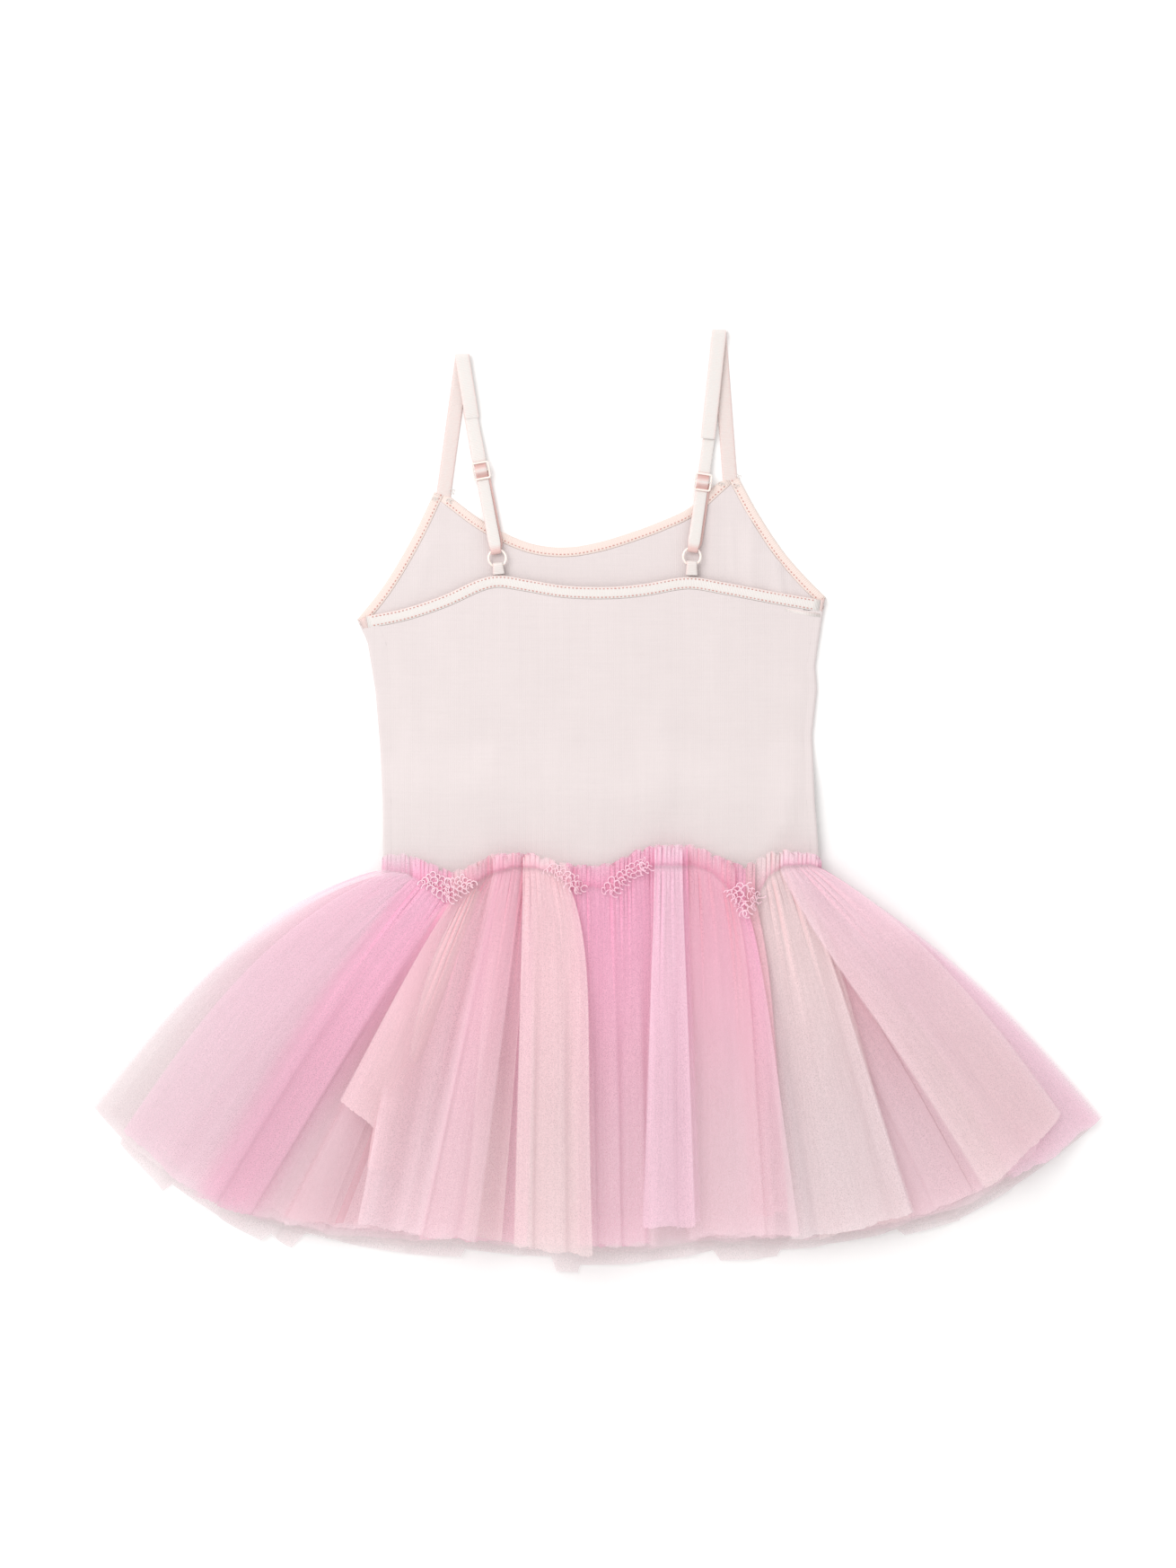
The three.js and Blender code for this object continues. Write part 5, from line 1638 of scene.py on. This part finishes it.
class DRESS_OT_bindings(bpy.types.Operator):
    """Makes the bound edges of the front and the satin band of the back"""

    bl_idname = "dress.bindings"
    bl_label = "Bindings"

    def execute(self, context):
        tone = tuple(context.scene.dress_bodice.binding)
        # The darker edge colour is painted shade where the binding rounds over
        edge = tuple(EDGE_SHADE * c for c in tone)
        finish = finish_of("binding", tape_look, tone, edge, tone, BINDING_RIB, 0.25)
        for side, line in (("left", ARM_LEFT), ("right", ARM_RIGHT)):
            edges = [with_height(e, binding_height) for e in (line, moved(line, FRONT_BINDING_WIDTH))]
            made = tape(f"armhole_binding_{side}_tape", *edges, BINDING)
            dress_up(made, finish, "trim", f"armhole_binding_{side}")
        edges = [with_height(e, binding_height) for e in neck_lines()]
        dress_up(tape("neck_binding_tape", *edges, BINDING), finish, "trim", "neck_binding")
        edges = [with_height(e, back_height) for e in (BACK_TOP, moved(BACK_TOP, BACK_BINDING_WIDTH))]
        satin = satin_finish(context.scene)
        dress_up(tape("back_band", *edges, BINDING), satin, "satin", "back_binding")
        for name, upper, lower, back_and_shade in UNDERARM_ENDS:
            edges = [with_height(line, back_height) for line in (upper, lower)]
            dress_up(tape(name, *edges, UNDERARM_THICKNESS, back_and_shade), satin, "satin")
        return {"FINISHED"}


class DRESS_OT_straps(bpy.types.Operator):
    """Makes the elastic of the straps, adjusters and ring tabs"""

    bl_idname = "dress.straps"
    bl_label = "Straps"

    def execute(self, context):
        look = context.scene.dress_straps
        finish = satin_finish(context.scene)
        wide, narrow = look.strap_width / MM, look.adjuster_width / MM
        for strap in STRAPS:
            points, sides = strap_points(strap)
            back_and_shade = np.where(np.arange(len(points)) < PALE_STRAP_POINTS, 0.26, 0.0)
            rows = {"strap": (points, sides, wide, back_and_shade, 120)}
            points, side, width, back_and_shade = adjuster_points(strap, narrow)
            rows["adjuster"] = (points, np.tile(side, (len(points), 1)), width, back_and_shade, 190)
            points, side = tab_points(strap)
            width = [narrow, *[RING["elastic"]] * (len(points) - 2), narrow]
            rows["ring_tab"] = (points, np.tile(side, (len(points), 1)), width, 0.1, 60)
            for name, row in rows.items():
                made = ribbon(f"{name}_{strap.side}_elastic", *row)
                dress_up(made, finish, "satin", f"{name}_{strap.side}")
        return {"FINISHED"}


class DRESS_OT_hardware(bpy.types.Operator):
    """Makes the plastic sliders and rings"""

    bl_idname = "dress.hardware"
    bl_label = "Sliders and rings"

    def execute(self, context):
        finish = finish_of("tinted_plastic", plastic_look, tuple(context.scene.dress_straps.plastic))
        for strap in STRAPS:
            dress_up(slider_object(strap), finish, "plastic", f"slider_{strap.side}")
            dress_up(ring_object(strap), finish, "plastic", f"ring_{strap.side}")
        return {"FINISHED"}


class DRESS_OT_tulle(bpy.types.Operator):
    """Makes the gathered layers of the skirt"""

    bl_idname = "dress.tulle"
    bl_label = "Tulle skirt"

    def execute(self, context):
        look = context.scene.dress_tulle
        finish = finish_of("soft_net", net_look, look.cell, look.cover)
        for k, panel in enumerate(PANELS):
            made, flat, area = tulle_piece(panel, look, 100 + 37 * k)
            dress_up(made, finish, panel.slot, panel.name)
        return {"FINISHED"}


class DRESS_OT_stitches(bpy.types.Operator):
    """Makes the topstitching, the loops of loose thread and the frayed curls"""

    bl_idname = "dress.stitches"
    bl_label = "Sewing"

    def execute(self, context):
        look = context.scene.dress_stitches
        stitches = row_tree("stitch_row", stitch_piece, (0, 0, -0.12), (0, 0, 0.12))
        curls = row_tree("curl_row", curl_piece, (-0.4, -0.4, -0.9), (0.4, 0.4, 0.8))
        thread = finish_of("topstitch_thread", thread_look, tuple(look.topstitch))
        fray = finish_of("frayed_net", fray_look, tuple(look.fray))
        pale = finish_of("pale_thread", thread_look, tuple(context.scene.dress_straps.satin))

        def sewn(name, lines, tree, spacing, size, thickness, finish, slot):
            values = {"Spacing": spacing, "Size": size, "Thread": thickness, "Seed": look.seed}
            made = made_row(name, lines, tree, values | {"Material": finish})
            if finish is fray:
                dye_like_panels(made, context.scene.dress_tulle)
            dress_up(made, finish, slot)

        edges = [moved(line, FRONT_INSET) for line in (ARM_LEFT, NECK, ARM_RIGHT)]
        lines = [at_height(line, BINDING + STITCH_RISE) for line in edges]
        sizes = (look.spacing, look.stitch, look.thread)
        sewn("front_topstitch", lines, stitches, *sizes, thread, "trim")
        sewn("strap_loops", loose_loop_lines(), curls, *LOOSE_LOOP_SIZES, pale, "trim")
        edges = [moved(BACK_TOP, far)[1:-1] for far in BACK_INSETS]
        lines = [with_height(line, back_height) + [0, 0, BINDING / 2 + STITCH_RISE] for line in edges]
        sewn("back_topstitch", lines, stitches, *sizes, thread, "satin")
        sizes = (look.curl_spacing, look.curl, look.fray_width)
        sewn("heading_curls", curl_lines(), curls, *sizes, fray, "tulle_pink")
        return {"FINISHED"}


class DRESS_OT_stage(bpy.types.Operator):
    """Makes the floor, the soft lights and the camera"""

    bl_idname = "dress.stage"
    bl_label = "Stage"

    def execute(self, context):
        scene = context.scene
        look = scene.dress_stage
        signs = ((-1, -1), (1, -1), (1, 1), (-1, 1))
        corners = [(x * FLOOR_HALF / MM, y * FLOOR_HALF / MM, 0) for x, y in signs]
        floor = new_object("floor", corners, [(0, 1, 2, 3)])
        floor.data.materials.append(finish_of("floor", floor_look, tuple(look.floor)))
        world = bpy.data.worlds.new("studio")
        world.use_nodes = True
        background = world.node_tree.nodes["Background"]
        background.inputs["Color"].default_value = (1, 1, 1, 1)
        background.inputs["Strength"].default_value = look.dome
        scene.world = world
        window = bpy.data.lights.new("soft_window", "AREA")
        window.shape = "SQUARE"
        window.size = WINDOW_SIZE
        window.energy = look.window
        lamp = bpy.data.objects.new("soft_window", window)
        lamp.location = WINDOW_PLACE
        lamp.rotation_euler = (-Vector(WINDOW_PLACE)).to_track_quat("-Z", "Y").to_euler()
        scene.collection.objects.link(lamp)
        lens = bpy.data.cameras.new("camera")
        lens.sensor_width = SENSOR
        lens.lens = SENSOR * look.camera_height / PICTURE_WIDTH
        lens.clip_end = VIEW_END
        camera = bpy.data.objects.new("camera", lens)
        camera.location = (*CAMERA_AIM, look.camera_height)
        scene.collection.objects.link(camera)
        scene.camera = camera
        scene.view_settings.view_transform = "Standard"
        scene.cycles.transparent_max_bounces = CLEAR_BOUNCES
        return {"FINISHED"}


class DRESS_PT_panel(bpy.types.Panel):
    """Lists the steps that make the dress"""

    bl_idname = "DRESS_PT_panel"
    bl_label = "Ballet dress"
    bl_space_type = "VIEW_3D"
    bl_region_type = "UI"
    bl_category = "Dress"

    def draw(self, context):
        for step in STEPS:
            self.layout.operator(step.bl_idname)
        for name in GROUPS:
            box = self.layout.box()
            group = getattr(context.scene, name)
            for key in type(group).__annotations__:
                box.prop(group, key)


STEPS = [
    DRESS_OT_jersey,
    DRESS_OT_bindings,
    DRESS_OT_straps,
    DRESS_OT_hardware,
    DRESS_OT_tulle,
    DRESS_OT_stitches,
    DRESS_OT_stage,
]
GROUPS = {
    "dress_bodice": DressBodice,
    "dress_straps": DressStraps,
    "dress_tulle": DressTulle,
    "dress_stitches": DressStitches,
    "dress_stage": DressStage,
}


def register():
    for kind in (*GROUPS.values(), *STEPS, DRESS_PT_panel):
        bpy.utils.register_class(kind)
    for name, kind in GROUPS.items():
        setattr(bpy.types.Scene, name, PointerProperty(type=kind))


def unregister():
    for name in GROUPS:
        delattr(bpy.types.Scene, name)
    for kind in reversed((*GROUPS.values(), *STEPS, DRESS_PT_panel)):
        bpy.utils.unregister_class(kind)


def main():
    register()
    for step in STEPS:
        group, name = step.bl_idname.split(".")
        getattr(getattr(bpy.ops, group), name)()


if __name__ == "__main__":
    main()
